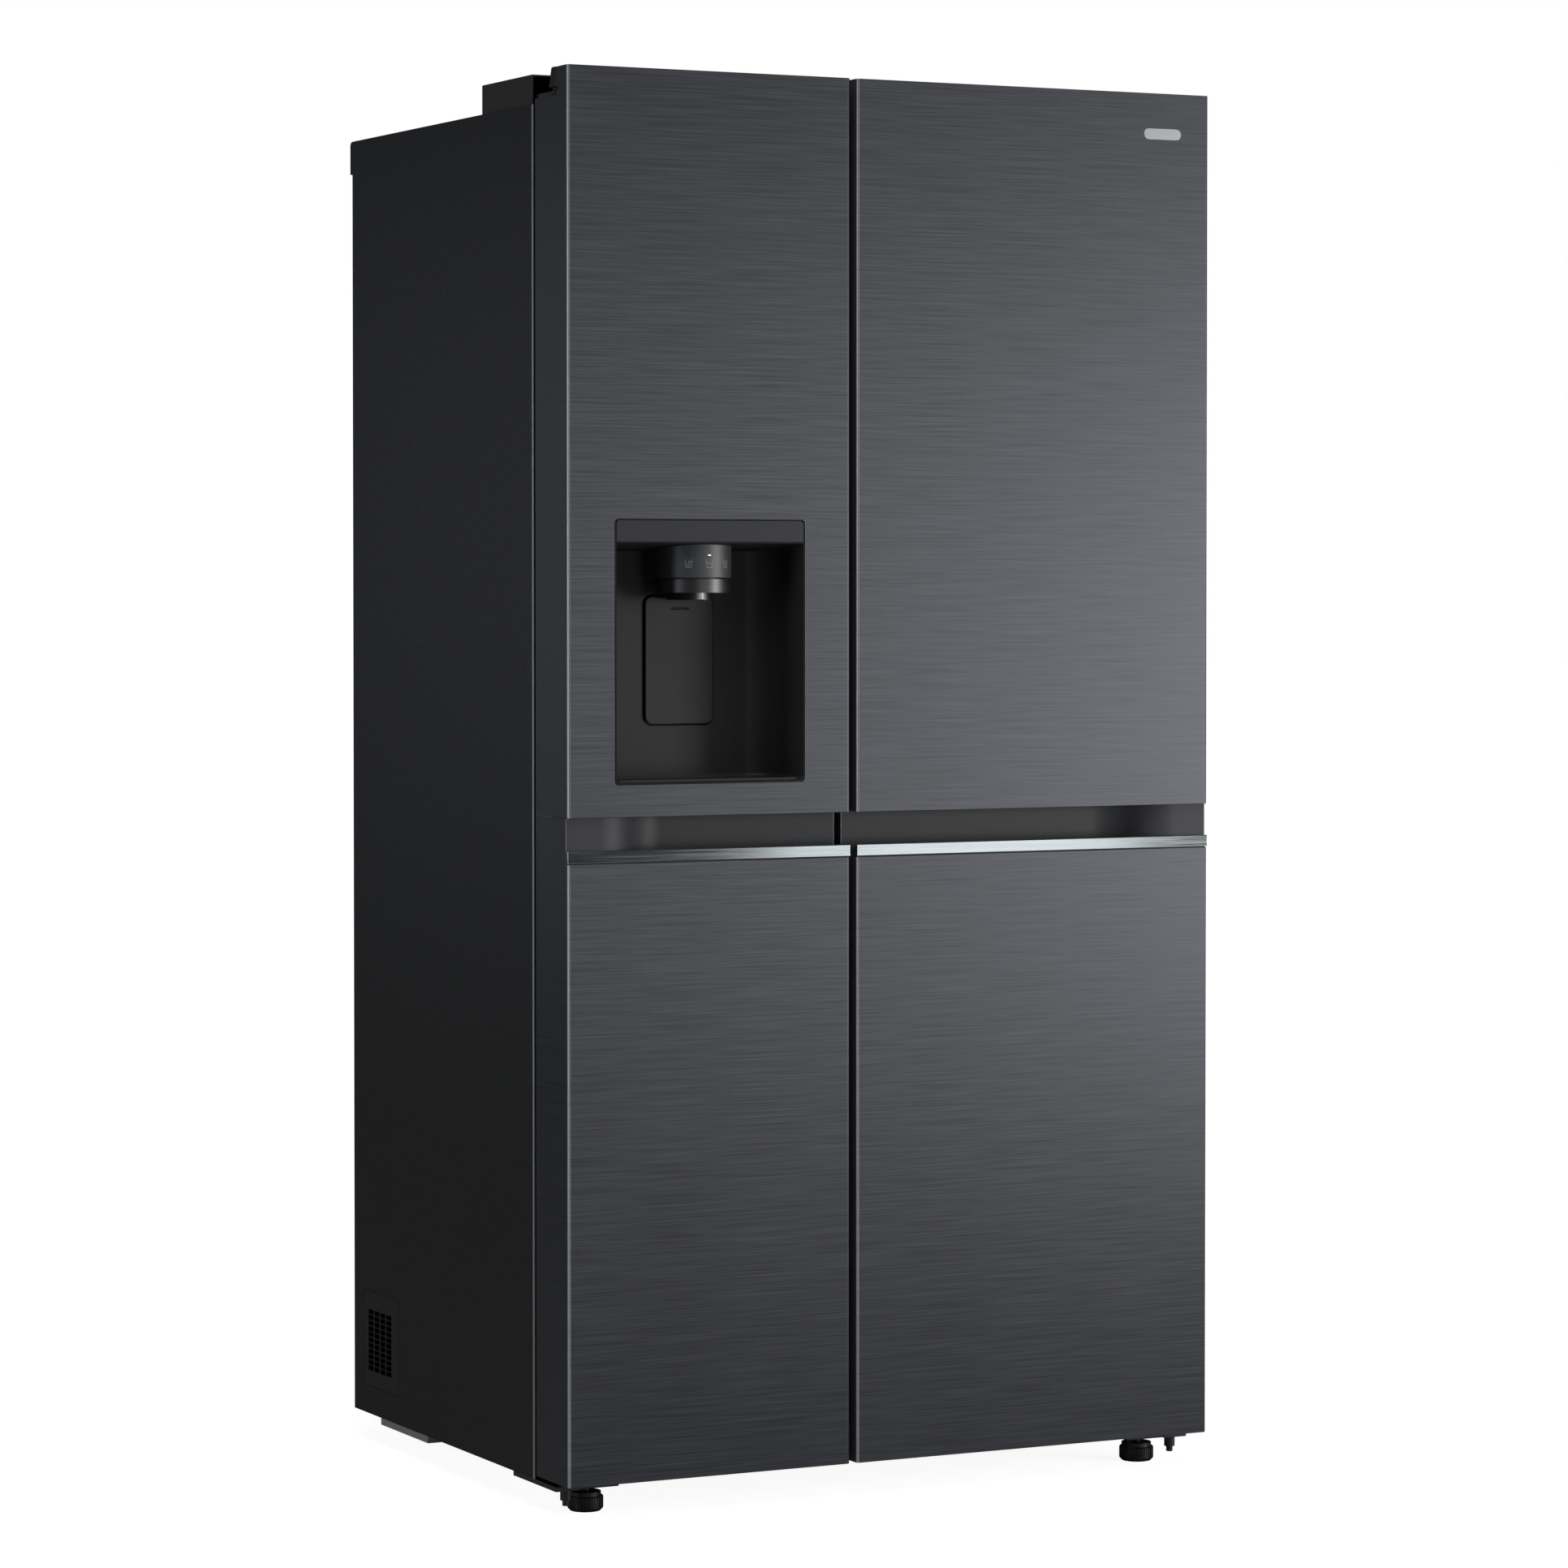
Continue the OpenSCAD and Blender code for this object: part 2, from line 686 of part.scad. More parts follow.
// Leaf on the cabinet roof, riser and arm over the door notch, pin down into the door
module top_hinges()
  color([0.62, 0.63, 0.65]) {
    difference() {
      for (s = [-1, 1]) {
        blk(s * leaf_x - leaf_w / 2, s * leaf_x + leaf_w / 2, cab_y0 + 6, cab_y0 + 160,
            cab_top, cab_top + leaf_t);
        blk(s * hinge_x - arm_w / 2, s * hinge_x + arm_w / 2, cab_y0 + 2, cab_y0 + 10, cab_top, arm_z1);
        blk(s * hinge_x - arm_w / 2, s * hinge_x + arm_w / 2, hinge_y, cab_y0 + 10, arm_z0, arm_z1);
        rod_z(s * hinge_x, hinge_y, arm_z0, arm_z1, 15);
      }
      screws(cab_top - cut, cab_top + leaf_t + cut, screw_r);
    }
    for (s = [-1, 1])
      rod_z(s * hinge_x, hinge_y, notch_z - pin_depth + 4, arm_z1, hinge_pin_r);
    screws(cab_top - screw_len, cab_top + leaf_t, screw_r);
    screws(cab_top + leaf_t, cab_top + 2 * leaf_t, 2 * screw_r);
  }

// Box over each hinge leaf and a stepped button over each pin
module hinge_covers()
  color([0.13, 0.12, 0.12])
    for (s = [-1, 1]) {
      difference() {
        side_blk(s, hw - 110, hw - 4, cab_y0 + 10.4, cab_y0 + 168, cab_top, cover_top);
        side_blk(s, hw - 110 + cover_t, hw - 4 - cover_t, cab_y0 + 9, cab_y0 + 168 - cover_t,
                 cab_top - cut, cover_top - cover_t);
      }
      rod_z(s * hinge_x, hinge_y, arm_z1, arm_z1 + 3.5, 14);
      cone_z(s * hinge_x, hinge_y, arm_z1 + 3.5, door_top + 2, 19, 16);
    }

// Plate under the cabinet floor with an arm forward to the door pin
module bottom_hinges()
  color(STEEL)
    for (s = [-1, 1]) {
      plate_x = foot_x - 32;
      arm_y1 = foot_y - 30;
      collar_z = door_bottom - 0.5;
      difference() {
        union() {
          side_blk(s, hinge_x - 15, hw - 3, hinge_y - 12, arm_y1, plate_z0, plate_z1);
          side_blk(s, plate_x, hw - 3, arm_y1, plate_y1, plate_z0, plate_z1);
          side_blk(s, plate_x, hw - 3, cab_y0 + 3, plate_y1, plate_z1, cab_z0 + 1);
        }
        rod_z(s * foot_x, foot_y, plate_z0 - cut, plate_z1 + cut, stud_r + gap);
      }
      rod_z(s * hinge_x, hinge_y, 12, 19, 4.3);
      rod_z(s * hinge_x, hinge_y, 19, plate_z1, 7);
      rod_z(s * hinge_x, hinge_y, plate_z1, collar_z, 8.5);
      rod_z(s * hinge_x, hinge_y, collar_z, door_bottom + pin_depth - 2, hinge_pin_r);
    }

module foot(s)
  color([0.12, 0.12, 0.13]) {
    base_h = 3;
    cone_z(s * foot_x, foot_y, 0, base_h, foot_r - 4, foot_r);
    rod_z(s * foot_x, foot_y, base_h, foot_h, foot_r);
    rod_z(s * foot_x, foot_y, foot_h, plate_z1 - 0.5, stud_r);
  }

module left_foot() foot(-1);
module right_foot() foot(1);

module roller(s)
  color([0.16, 0.16, 0.17])
    difference() {
      rod_x(s * roller_x - 11, s * roller_x + 11, roller_y, roller_r, roller_r);
      rod_x(s * roller_x - 12, s * roller_x + 12, roller_y, roller_r, axle_r + gap);
    }

module left_roller() roller(-1);
module right_roller() roller(1);

// Flanged bush in the rear cover, through to its bore
module power_gland()
  color(BLACK)
    difference() {
      union() {
        rod_y(port_x, cab_y1 - 8, cab_y1 + 6, gland_z, gland_r);
        rod_y(port_x, cab_y1 - 0.5, cab_y1 + 2, gland_z, gland_r + 4);
      }
      rod_y(port_x, cab_y1 - 9, cab_y1 + 7, gland_z, 4.5);
    }

// Flanged valve body with a blind bore for the water tube
module water_inlet()
  color([0.85, 0.85, 0.84])
    difference() {
      union() {
        rod_y(-port_x, cab_y1 - 30, cab_y1 + 8, inlet_z, inlet_r);
        rod_y(-port_x, cab_y1 - 0.5, cab_y1 + 2, inlet_z, inlet_r + 4);
      }
      rod_y(-port_x, cab_y1 - 20, cab_y1 + 9, inlet_z, 3.2);
    }

// ---- parts that both doors share; s is -1 for the freezer and 1 for the fridge ----

function door_lo(s) = s < 0 ? -hw : fridge_edge;
function door_hi(s) = s < 0 ? freezer_edge : hw;
function free_edge(s) = s < 0 ? freezer_edge : fridge_edge;

// Solid that fills a door skin from its inner front face back to y1
module core_bar(s, y1, z0, z1)
  door_bar(door_lo(s) + skin_t, door_hi(s) - skin_t, skin_t, y1, max(edge_r - skin_t, 0.5), z0, z1);

// Hinge notch in the top outer corner
module notch(s)
  side_blk(s, hw - notch_w, hw + 5, notch_y, door_t + 5, notch_z, door_top + 5);

module skin(s, z0, z1)
  difference() {
    door_bar(door_lo(s), door_hi(s), 0, door_t, edge_r, z0, z1);
    core_bar(s, door_t + cut, z0 - cut, z1 + cut);
  }

// Finger pocket seen from above: flat back at the free end, two tangent arcs towards the hinge
module pocket_void(s, z0, z1) {
  open_x = free_edge(s) - s * cut;
  blk(min(s * curve_x0, open_x), max(s * curve_x0, open_x), lip_y, pocket_depth, z0, z1);
  intersection() {
    side_blk(s, curve_x0, curve_mx, lip_y, pocket_depth, z0, z1);
    rod_z(s * curve_x0, pocket_depth - curve_r, z0, z1, curve_r);
  }
  difference() {
    side_blk(s, curve_mx, curve_x1, lip_y, curve_my, z0, z1);
    rod_z(s * curve_x1, lip_y + curve_r, z0 - cut, z1 + cut, curve_r);
  }
}

module door_skin(s) {
  difference() {
    skin(s, pocket_top, door_top);
    notch(s);
  }
  difference() {
    skin(s, door_bottom, pocket_top);
    blk(-hw - 5, hw + 5, -cut, lip_y, panel_z, pocket_top + cut);
    blk(free_edge(s) - 5, free_edge(s) + 5, -cut, pocket_depth, panel_z, pocket_top + cut);
  }
}

module pocket(s)
  color([0.24, 0.25, 0.26])
    difference() {
      blk(door_lo(s) + skin_t, door_hi(s) - skin_t, skin_t, pocket_depth + pocket_wall,
          pocket_z0 - pocket_lap, pocket_top + pocket_lap);
      pocket_void(s, pocket_z0, pocket_top);
      blk(-hw, hw, 0, lip_y, trim_z1, pocket_top);
      blk(-hw, hw, 0, trim_t, panel_z, trim_z1 + cut);
      rounding(s);
    }

// Keeps the pocket block clear of the rounded door edges
module rounding(s)
  difference() {
    for (x = [door_lo(s), door_hi(s)])
      blk(x - edge_r, x + edge_r, -cut, edge_r, pocket_z0 - pocket_lap - cut, pocket_top + pocket_lap + cut);
    core_bar(s, door_t, pocket_z0 - pocket_lap - 2 * cut, pocket_top + pocket_lap + 2 * cut);
  }

module trim(s)
  color([0.72, 0.75, 0.77])
    door_bar(door_lo(s) + trim_in, door_hi(s) - trim_in, 0, trim_t, trim_t / 2, trim_z0, trim_z1);

// Plastic end caps with the hinge blocks and the two bores for the hinge pins
module caps(s)
  color(CHARCOAL)
    difference() {
      union() {
        core_bar(s, door_t, door_top - cap_t - 1, door_top - 1);
        side_blk(s, hw - block_w, hw - skin_t, block_y, door_t, block_z0, door_top - 1);
        core_bar(s, door_t, door_bottom, door_bottom + cap_foot_t);
        side_blk(s, hw - heel_w, hw - skin_t, hinge_y - heel_r, hinge_y + heel_r,
                 door_bottom, door_bottom + pin_depth + 4);
      }
      notch(s);
      rod_z(s * hinge_x, hinge_y, notch_z - pin_depth, notch_z + cut, hinge_pin_r + gap);
      rod_z(s * hinge_x, hinge_y, door_bottom - cut, door_bottom + pin_depth, hinge_pin_r + gap);
    }

// Inner side of a door: flat rim, recessed middle and four dykes; t shrinks it to its foam core
module plug(s, t) {
  x0 = s < 0 ? fzp_x0 : fgp_x0;
  x1 = s < 0 ? fzp_x1 : fgp_x1;
  difference() {
    blk(x0 + t, x1 - t, liner_y, plug_y - t, plug_z0 + t, plug_z1 - t);
    difference() {
      blk(x0 + dyke_w - t, x1 - dyke_w + t, mid_y - t, plug_y + cut,
          plug_z0 + dyke_w - t, plug_z1 - dyke_w + t);
      if (s < 0)
        blk(x0, x1, liner_y, plug_y + 2 * cut, bulge_z0 + t, bulge_z1 - t);
    }
  }
}

module door_foam(s)
  difference() {
    union() {
      core_bar(s, liner_y, door_bottom + cap_foot_t, door_top - cap_t - 1);
      plug(s, liner_t);
    }
    blk(door_lo(s), door_hi(s), 0, pocket_depth + pocket_wall,
        pocket_z0 - pocket_lap, pocket_top + pocket_lap);
    side_blk(s, hw - block_w, hw, block_y, door_t, block_z0, door_top);
    side_blk(s, hw - heel_w, hw, hinge_y - heel_r, hinge_y + heel_r,
             door_bottom, door_bottom + pin_depth + 4);
  }

module door_liner(s)
  difference() {
    union() {
      blk(door_lo(s) + skin_t, door_hi(s) - skin_t, liner_y, door_t,
          door_bottom + cap_foot_t, door_top - cap_t - 1);
      plug(s, 0);
    }
    plug(s, liner_t);
    side_blk(s, hw - block_w, hw, 0, door_t + cut, block_z0, door_top);
  }

// Soft ring on the door liner with a hollow bellows
module gasket(x0, x1)
  color([0.30, 0.30, 0.31])
    difference() {
      blk(x0, x1, door_t, cab_y0 - 0.3, in_z0 - 20, in_z1 + 20);
      blk(x0 + 16, x1 - 16, door_t - cut, cab_y0 + cut, in_z0 - 4, in_z1 + 4);
      blk(x0 + 3, x1 - 3, door_t + 3, door_t + 5, in_z0 - 17, in_z1 + 17);
    }

// Open-topped bins between the dykes; the lowest is shallower and taller
module bins(x0, x1, levels)
  color(CLEAR)
    for (k = [0:len(levels) - 1]) {
      y1 = k == 0 ? low_bin_y1 : bin_y1;
      h = k == 0 ? low_bin_h : bin_h;
      tub(x0, x1, mid_y, y1, levels[k], levels[k] + h, bin_wall);
    }

// ---- freezer door ----

module niche_profile()
  translate([disp_x0, yf, 0])
    rotate([90, 0, 90])
      linear_extrude(disp_w)
        polygon([[-cut, niche_z0], [niche_d, niche_z0], [niche_d, niche_back_z1], [-cut, niche_z1]]);

// Hollow of the dispenser: ceiling that falls to the back, large fillets in the back corners
module niche()
  intersection() {
    niche_profile();
    translate([0, 0, disp_z0])
      linear_extrude(disp_z1 - disp_z0) {
        translate([disp_x0 + rim, yf - cut])
          square([disp_w - 2 * rim, niche_d + cut - niche_fillet]);
        translate([disp_x0 + rim + niche_fillet, yf - cut])
          square([disp_w - 2 * (rim + niche_fillet), niche_d + cut]);
        for (x = [disp_x0 + rim + niche_fillet, disp_x1 - rim - niche_fillet])
          translate([x, yf + niche_d - niche_fillet])
            circle(r = niche_fillet);
      }
  }

// Room behind the lever pad, grown by g on all sides
module lever_recess(g)
  blk(disp_x - lever_w / 2 - lever_gap - g, disp_x + lever_w / 2 + lever_gap + g,
      niche_d - cut, lever_room + g, lever_z0 - lever_gap - g, lever_z1 + lever_gap + g);

module freezer_door_skin()
  color(STEEL)
    difference() {
      door_skin(-1);
      round_y(disp_x0, disp_x1, disp_z0, disp_z1, -cut, 5, disp_r);
    }

module freezer_pocket() pocket(-1);
module freezer_trim() trim(-1);
module freezer_door_caps() caps(-1);

module freezer_door_foam()
  color(FOAM)
    difference() {
      door_foam(-1);
      round_y(disp_x0, disp_x1, disp_z0, disp_z1, 0, disp_back, disp_r);
      lever_recess(lever_lap);
    }

module freezer_door_liner()
  color(WHITE)
    difference() {
      door_liner(-1);
      round_y(disp_x0, disp_x1, disp_z0, disp_z1, 0, disp_back, disp_r);
    }

module freezer_gasket() gasket(-hw + 26, frz_x1 + 15);
module freezer_door_bins() bins(fzp_x0 + dyke_w, fzp_x1 - dyke_w, frz_bins);

// Hollow box above the dispenser with a finger slot and the hole that drops the ice
module ice_maker()
  color([0.88, 0.90, 0.92])
    difference() {
      x0 = fzp_x0 + dyke_w;
      x1 = fzp_x1 - dyke_w;
      y1 = bin_y1 - 4;
      z1 = plug_z1 - dyke_w;
      blk(x0, x1, mid_y, y1, bulge_z1, z1);
      blk(x0 + ice_wall, x1 - ice_wall, mid_y + ice_wall, y1 - ice_wall, bulge_z1 + ice_wall, z1 - ice_wall);
      blk(disp_x - 50, disp_x + 50, y1 - 2, y1 + 4, z1 - 60, z1 - 44);
      rod_z(disp_x, mid_y + 40, bulge_z1 - cut, bulge_z1 + ice_wall + cut, 25);
    }

module dispenser_housing()
  color([0.05, 0.05, 0.05])
    difference() {
      union() {
        round_y(disp_x0, disp_x1, disp_z0, disp_z1, 0, disp_back, disp_r);
        lever_recess(lever_lap);
      }
      niche();
      lever_recess(0);
      blk(disp_x0 + rim, disp_x1 - rim, -cut, band_t, band_z0, band_z1);
      rod_x(disp_x - pivot_w - 0.3, disp_x + pivot_w + 0.3, pivot_y, pivot_z, pivot_r + gap);
    }

module control_panel()
  color([0.22, 0.23, 0.24])
    blk(disp_x0 + rim, disp_x1 - rim, 0, band_t, band_z0, band_z1);

// Half-round front with a straight back, and a narrower neck down to the ring
module selector_drum()
  color([0.04, 0.04, 0.05]) {
    difference() {
      intersection() {
        niche_profile();
        union() {
          rod_z(disp_x, drum_y, drum_z0, disp_z1, drum_r);
          blk(disp_x - drum_r, disp_x + drum_r, drum_y, niche_d, drum_z0, disp_z1);
        }
      }
      rod_z(disp_x, chute_y, drum_z0 - cut, drum_z0 + 26, chute_r - chute_wall);
    }
    difference() {
      rod_z(disp_x, drum_y, ring_z1, drum_z0, drum_r - 8);
      rod_z(disp_x, chute_y, ring_z1 - cut, drum_z0 + cut, chute_r - chute_wall);
    }
  }

// Everything of the ring and the chute that would reach into the niche wall
module behind_niche(z0, z1)
  blk(disp_x - ring_r, disp_x + ring_r, niche_d, niche_d + 20, z0 - cut, z1 + cut);

module dispenser_ring()
  color([0.60, 0.62, 0.64])
    difference() {
      rod_z(disp_x, drum_y, ring_z0, ring_z1, ring_r);
      rod_z(disp_x, drum_y, ring_z0 - cut, ring_z1 + cut, ring_r - ring_t);
      behind_niche(ring_z0, ring_z1);
    }

module ice_chute()
  color([0.10, 0.10, 0.11])
    difference() {
      union() {
        rod_z(disp_x, drum_y, ring_z0 + 1.5, ring_z1, ring_r - ring_t);
        rod_z(disp_x, chute_y, chute_z0, ring_z0 + 2, chute_r);
      }
      rod_z(disp_x, chute_y, chute_z0 - cut, ring_z1 + cut, chute_r - chute_wall);
      rod_z(disp_x, nozzle_y, chute_z0 - cut, ring_z0 + 8, nozzle_r);
      behind_niche(chute_z0, ring_z1);
    }

module water_nozzle()
  color([0.85, 0.87, 0.88])
    difference() {
      rod_z(disp_x, nozzle_y, chute_z0 + 0.7, ring_z0 + 8, nozzle_r);
      rod_z(disp_x, nozzle_y, chute_z0, ring_z0 + 7, nozzle_bore);
    }

module drip_tray()
  color([0.09, 0.09, 0.10])
    difference() {
      side = 8;
      front = 5;
      corner = 34;
      wall = 2;
      round_z(disp_x0 + side, disp_x1 - side, front, niche_d - front, niche_z0, niche_z0 + 3, corner);
      round_z(disp_x0 + side + wall, disp_x1 - side - wall, front + wall, niche_d - front - wall,
              niche_z0 + 1.2, niche_z0 + 4, corner - wall);
    }

// Pad with a short slit, two lugs behind it and the pivot rod that they carry
module dispenser_lever()
  color([0.08, 0.08, 0.09]) {
    lug = 5;
    difference() {
      round_y(disp_x - lever_w / 2, disp_x + lever_w / 2, lever_z0, lever_z1, lever_y, niche_d, 10);
      blk(disp_x - 12.3, disp_x + 12.3, lever_y - cut, lever_y + 2, lever_z1 - 16.4, lever_z1 - 14.4);
    }
    for (s = [-1, 1])
      blk(disp_x + s * 30 - 2, disp_x + s * 30 + 2, niche_d - cut, pivot_y + lug,
          pivot_z - lug, pivot_z + lug);
    rod_x(disp_x - pivot_w, disp_x + pivot_w, pivot_y, pivot_z, pivot_r);
  }

// ---- fridge door ----

module fridge_door_skin()
  color(STEEL)
    difference() {
      door_skin(1);
      badge_block(-cut);
    }

module fridge_pocket() pocket(1);
module fridge_trim() trim(1);
module fridge_door_caps() caps(1);
module fridge_door_foam() color(FOAM) door_foam(1);
module fridge_door_liner() color(WHITE) door_liner(1);
module fridge_gasket() gasket(frg_x0 - 17, hw - 26);
module fridge_door_bins() bins(fgp_x0 + dyke_w, fgp_x1 - dyke_w, frg_bins);

module badge_block(y0)
  blk(badge_x - badge_w / 2, badge_x + badge_w / 2, y0, skin_t, badge_z - badge_h / 2, badge_z + badge_h / 2);

module badge()
  color([0.75, 0.76, 0.78])
    badge_block(0);

outer_case();
cabinet_foam();
back_panel();
rear_top_trim();
freezer_liner();
fridge_liner();
base_frame();
side_vent_grille();
machine_room_cover();
compressor_tray();
compressor();
condenser_coil();
condenser_fan_shroud();
condenser_fan();
evaporator_coil();
evaporator_fan();
duct_covers();
light_lenses();
shelf_frames();
shelf_glass();
freezer_drawer_upper();
freezer_drawer_lower();
crisper_upper();
crisper_lower();
top_hinges();
hinge_covers();
bottom_hinges();
left_foot();
right_foot();
left_roller();
right_roller();
power_gland();
water_inlet();
freezer_door_skin();
freezer_pocket();
freezer_trim();
freezer_door_caps();
freezer_door_foam();
freezer_door_liner();
freezer_gasket();
freezer_door_bins();
ice_maker();
dispenser_housing();
control_panel();
selector_drum();
dispenser_ring();
ice_chute();
water_nozzle();
drip_tray();
dispenser_lever();
fridge_door_skin();
fridge_pocket();
fridge_trim();
fridge_door_caps();
fridge_door_foam();
fridge_door_liner();
fridge_gasket();
fridge_door_bins();
badge();
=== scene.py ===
"""Looks of the side-by-side refrigerator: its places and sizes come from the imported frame, in metres."""

import json
import math

import bmesh
import bpy
from mathutils import Matrix, Vector


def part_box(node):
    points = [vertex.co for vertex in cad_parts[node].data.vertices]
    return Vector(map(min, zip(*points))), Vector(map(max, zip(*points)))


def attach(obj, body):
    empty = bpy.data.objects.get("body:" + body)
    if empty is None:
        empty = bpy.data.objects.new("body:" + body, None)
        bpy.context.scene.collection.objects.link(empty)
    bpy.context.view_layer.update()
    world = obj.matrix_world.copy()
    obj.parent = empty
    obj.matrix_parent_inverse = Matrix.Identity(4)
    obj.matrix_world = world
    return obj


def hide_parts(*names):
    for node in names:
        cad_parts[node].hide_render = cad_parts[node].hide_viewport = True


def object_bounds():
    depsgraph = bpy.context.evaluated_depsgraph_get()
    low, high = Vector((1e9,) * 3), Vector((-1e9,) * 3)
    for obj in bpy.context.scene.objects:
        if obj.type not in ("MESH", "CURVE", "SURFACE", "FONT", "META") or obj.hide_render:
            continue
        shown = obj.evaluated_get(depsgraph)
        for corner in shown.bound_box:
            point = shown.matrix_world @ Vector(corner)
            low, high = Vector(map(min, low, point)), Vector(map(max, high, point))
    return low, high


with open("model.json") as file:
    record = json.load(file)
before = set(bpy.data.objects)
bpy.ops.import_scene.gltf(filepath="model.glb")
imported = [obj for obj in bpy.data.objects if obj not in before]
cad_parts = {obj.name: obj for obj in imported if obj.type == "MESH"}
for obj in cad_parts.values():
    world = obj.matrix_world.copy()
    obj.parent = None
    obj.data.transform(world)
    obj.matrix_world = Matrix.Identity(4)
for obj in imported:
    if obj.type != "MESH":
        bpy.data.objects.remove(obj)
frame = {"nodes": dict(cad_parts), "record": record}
cad_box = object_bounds()

MM = 0.001
NODE_BODY = {node: body for body, nodes in frame["record"]["behaviour"]["bodies"].items() for node in nodes}


# ---------------------------------------------------------------- materials

NOISE_LOW = 0.3             # the part of a noise field that colour and roughness follow
NOISE_HIGH = 0.7
BUMP_DEPTH = 0.1 * MM


def shader_of(material):
    return material.node_tree.nodes["Principled BSDF"]


def new_material(name, color, roughness, metallic=0.0, specular=0.5):
    material = bpy.data.materials.new(name)
    material.use_nodes = True
    shader = shader_of(material)
    shader.inputs["Base Color"].default_value = (*color, 1.0)
    shader.inputs["Roughness"].default_value = roughness
    shader.inputs["Metallic"].default_value = metallic
    shader.inputs["Specular IOR Level"].default_value = specular
    return material


def noise_field(material, scale, detail, roughness=0.5):
    """Noise in the object's own coordinates, stretched by a scale for each axis."""
    nodes, links = material.node_tree.nodes, material.node_tree.links
    place = nodes.new("ShaderNodeTexCoord")
    mapping = nodes.new("ShaderNodeMapping")
    mapping.inputs["Scale"].default_value = scale
    noise = nodes.new("ShaderNodeTexNoise")
    noise.inputs["Scale"].default_value = 1.0
    noise.inputs["Detail"].default_value = detail
    noise.inputs["Roughness"].default_value = roughness
    links.new(place.outputs["Object"], mapping.inputs["Vector"])
    links.new(mapping.outputs["Vector"], noise.inputs["Vector"])
    return noise.outputs["Fac"]


def vary(material, field, color_spread, rough_spread, bump=0.0):
    """Lets a field change the colour and roughness around their set values, and raise a bump."""
    nodes, links = material.node_tree.nodes, material.node_tree.links
    shader = shader_of(material)
    base = shader.inputs["Base Color"].default_value[:3]
    ramp = nodes.new("ShaderNodeValToRGB")
    ramp.color_ramp.elements[0].position = NOISE_LOW
    ramp.color_ramp.elements[1].position = NOISE_HIGH
    ramp.color_ramp.elements[0].color = (*[c * (1 - color_spread) for c in base], 1.0)
    ramp.color_ramp.elements[1].color = (*[min(1.0, c * (1 + color_spread)) for c in base], 1.0)
    links.new(field, ramp.inputs["Fac"])
    links.new(ramp.outputs["Color"], shader.inputs["Base Color"])
    middle = shader.inputs["Roughness"].default_value
    spread = nodes.new("ShaderNodeMapRange")
    spread.inputs["From Min"].default_value = NOISE_LOW
    spread.inputs["From Max"].default_value = NOISE_HIGH
    spread.inputs["To Min"].default_value = middle - rough_spread
    spread.inputs["To Max"].default_value = middle + rough_spread
    links.new(field, spread.inputs["Value"])
    links.new(spread.outputs["Result"], shader.inputs["Roughness"])
    if bump:
        node = nodes.new("ShaderNodeBump")
        node.inputs["Strength"].default_value = bump
        node.inputs["Distance"].default_value = BUMP_DEPTH
        links.new(field, node.inputs["Height"])
        links.new(node.outputs["Normal"], shader.inputs["Normal"])
    return material


def brushed(name, color, roughness, scale, spread, anisotropy=0.5, bump=0.06):
    """Metal with long fine scratches along the axes whose scale is small."""
    material = new_material(name, color, roughness, 1.0)
    vary(material, noise_field(material, scale, 4.0, 0.62), spread, 0.05, bump)
    shader_of(material).inputs["Anisotropic"].default_value = anisotropy
    tangent = material.node_tree.nodes.new("ShaderNodeTangent")
    tangent.direction_type = "RADIAL"
    tangent.axis = "Z"
    material.node_tree.links.new(tangent.outputs["Tangent"], shader_of(material).inputs["Tangent"])
    return material


def plastic(name, color, roughness, grain=900.0, bump=0.12, spread=0.06, specular=0.5):
    """Moulded plastic: fine even grain and slightly uneven gloss."""
    material = new_material(name, color, roughness, 0.0, specular)
    return vary(material, noise_field(material, (grain,) * 3, 2.0), spread, 0.04, bump)


def painted(name, color, roughness, peel=160.0, bump=0.03, specular=0.5):
    """Smooth paint with a faint orange peel."""
    material = new_material(name, color, roughness, 0.0, specular)
    return vary(material, noise_field(material, (peel,) * 3, 2.0), 0.04, 0.03, bump)


def clear(name, color, roughness, alpha):
    """Thin clear plastic or glass that light passes straight through."""
    material = new_material(name, color, roughness)
    shader_of(material).inputs["Alpha"].default_value = alpha
    return vary(material, noise_field(material, (30.0,) * 3, 2.0), 0.03, 0.02, 0.02)


def glowing(name, color, strength):
    material = new_material(name, color, 0.4)
    shader = shader_of(material)
    shader.inputs["Emission Color"].default_value = (*color, 1.0)
    shader.inputs["Emission Strength"].default_value = strength
    return vary(material, noise_field(material, (400.0,) * 3, 1.0), 0.02, 0.02)


GRAIN = (8.0, 8.0, 700.0)
STEEL = brushed("dark_brushed_steel", (0.068, 0.070, 0.077), 0.40, GRAIN, 0.26)
# Much lighter steel for the doors' front-left rounded edges: a painted highlight, not a finish of the bent
# sheet.
STEEL_EDGE_HIGHLIGHT = brushed("steel_edge_painted_highlight", (0.43, 0.437, 0.45), 0.42, GRAIN, 0.10)
CHROME = brushed("trim_chrome", (0.50, 0.545, 0.565), 0.12, (9.0, 9.0, 600.0), 0.04, 0.0, 0.01)
CASE = painted("case_paint", (0.0040, 0.0043, 0.0050), 0.42, specular=0.25)
# Bright metal for the case's front folds: a painted highlight on the dark painted wrap.
CASE_EDGE_HIGHLIGHT = brushed("case_edge_painted_highlight", (0.30, 0.305, 0.31), 0.45, GRAIN, 0.05)
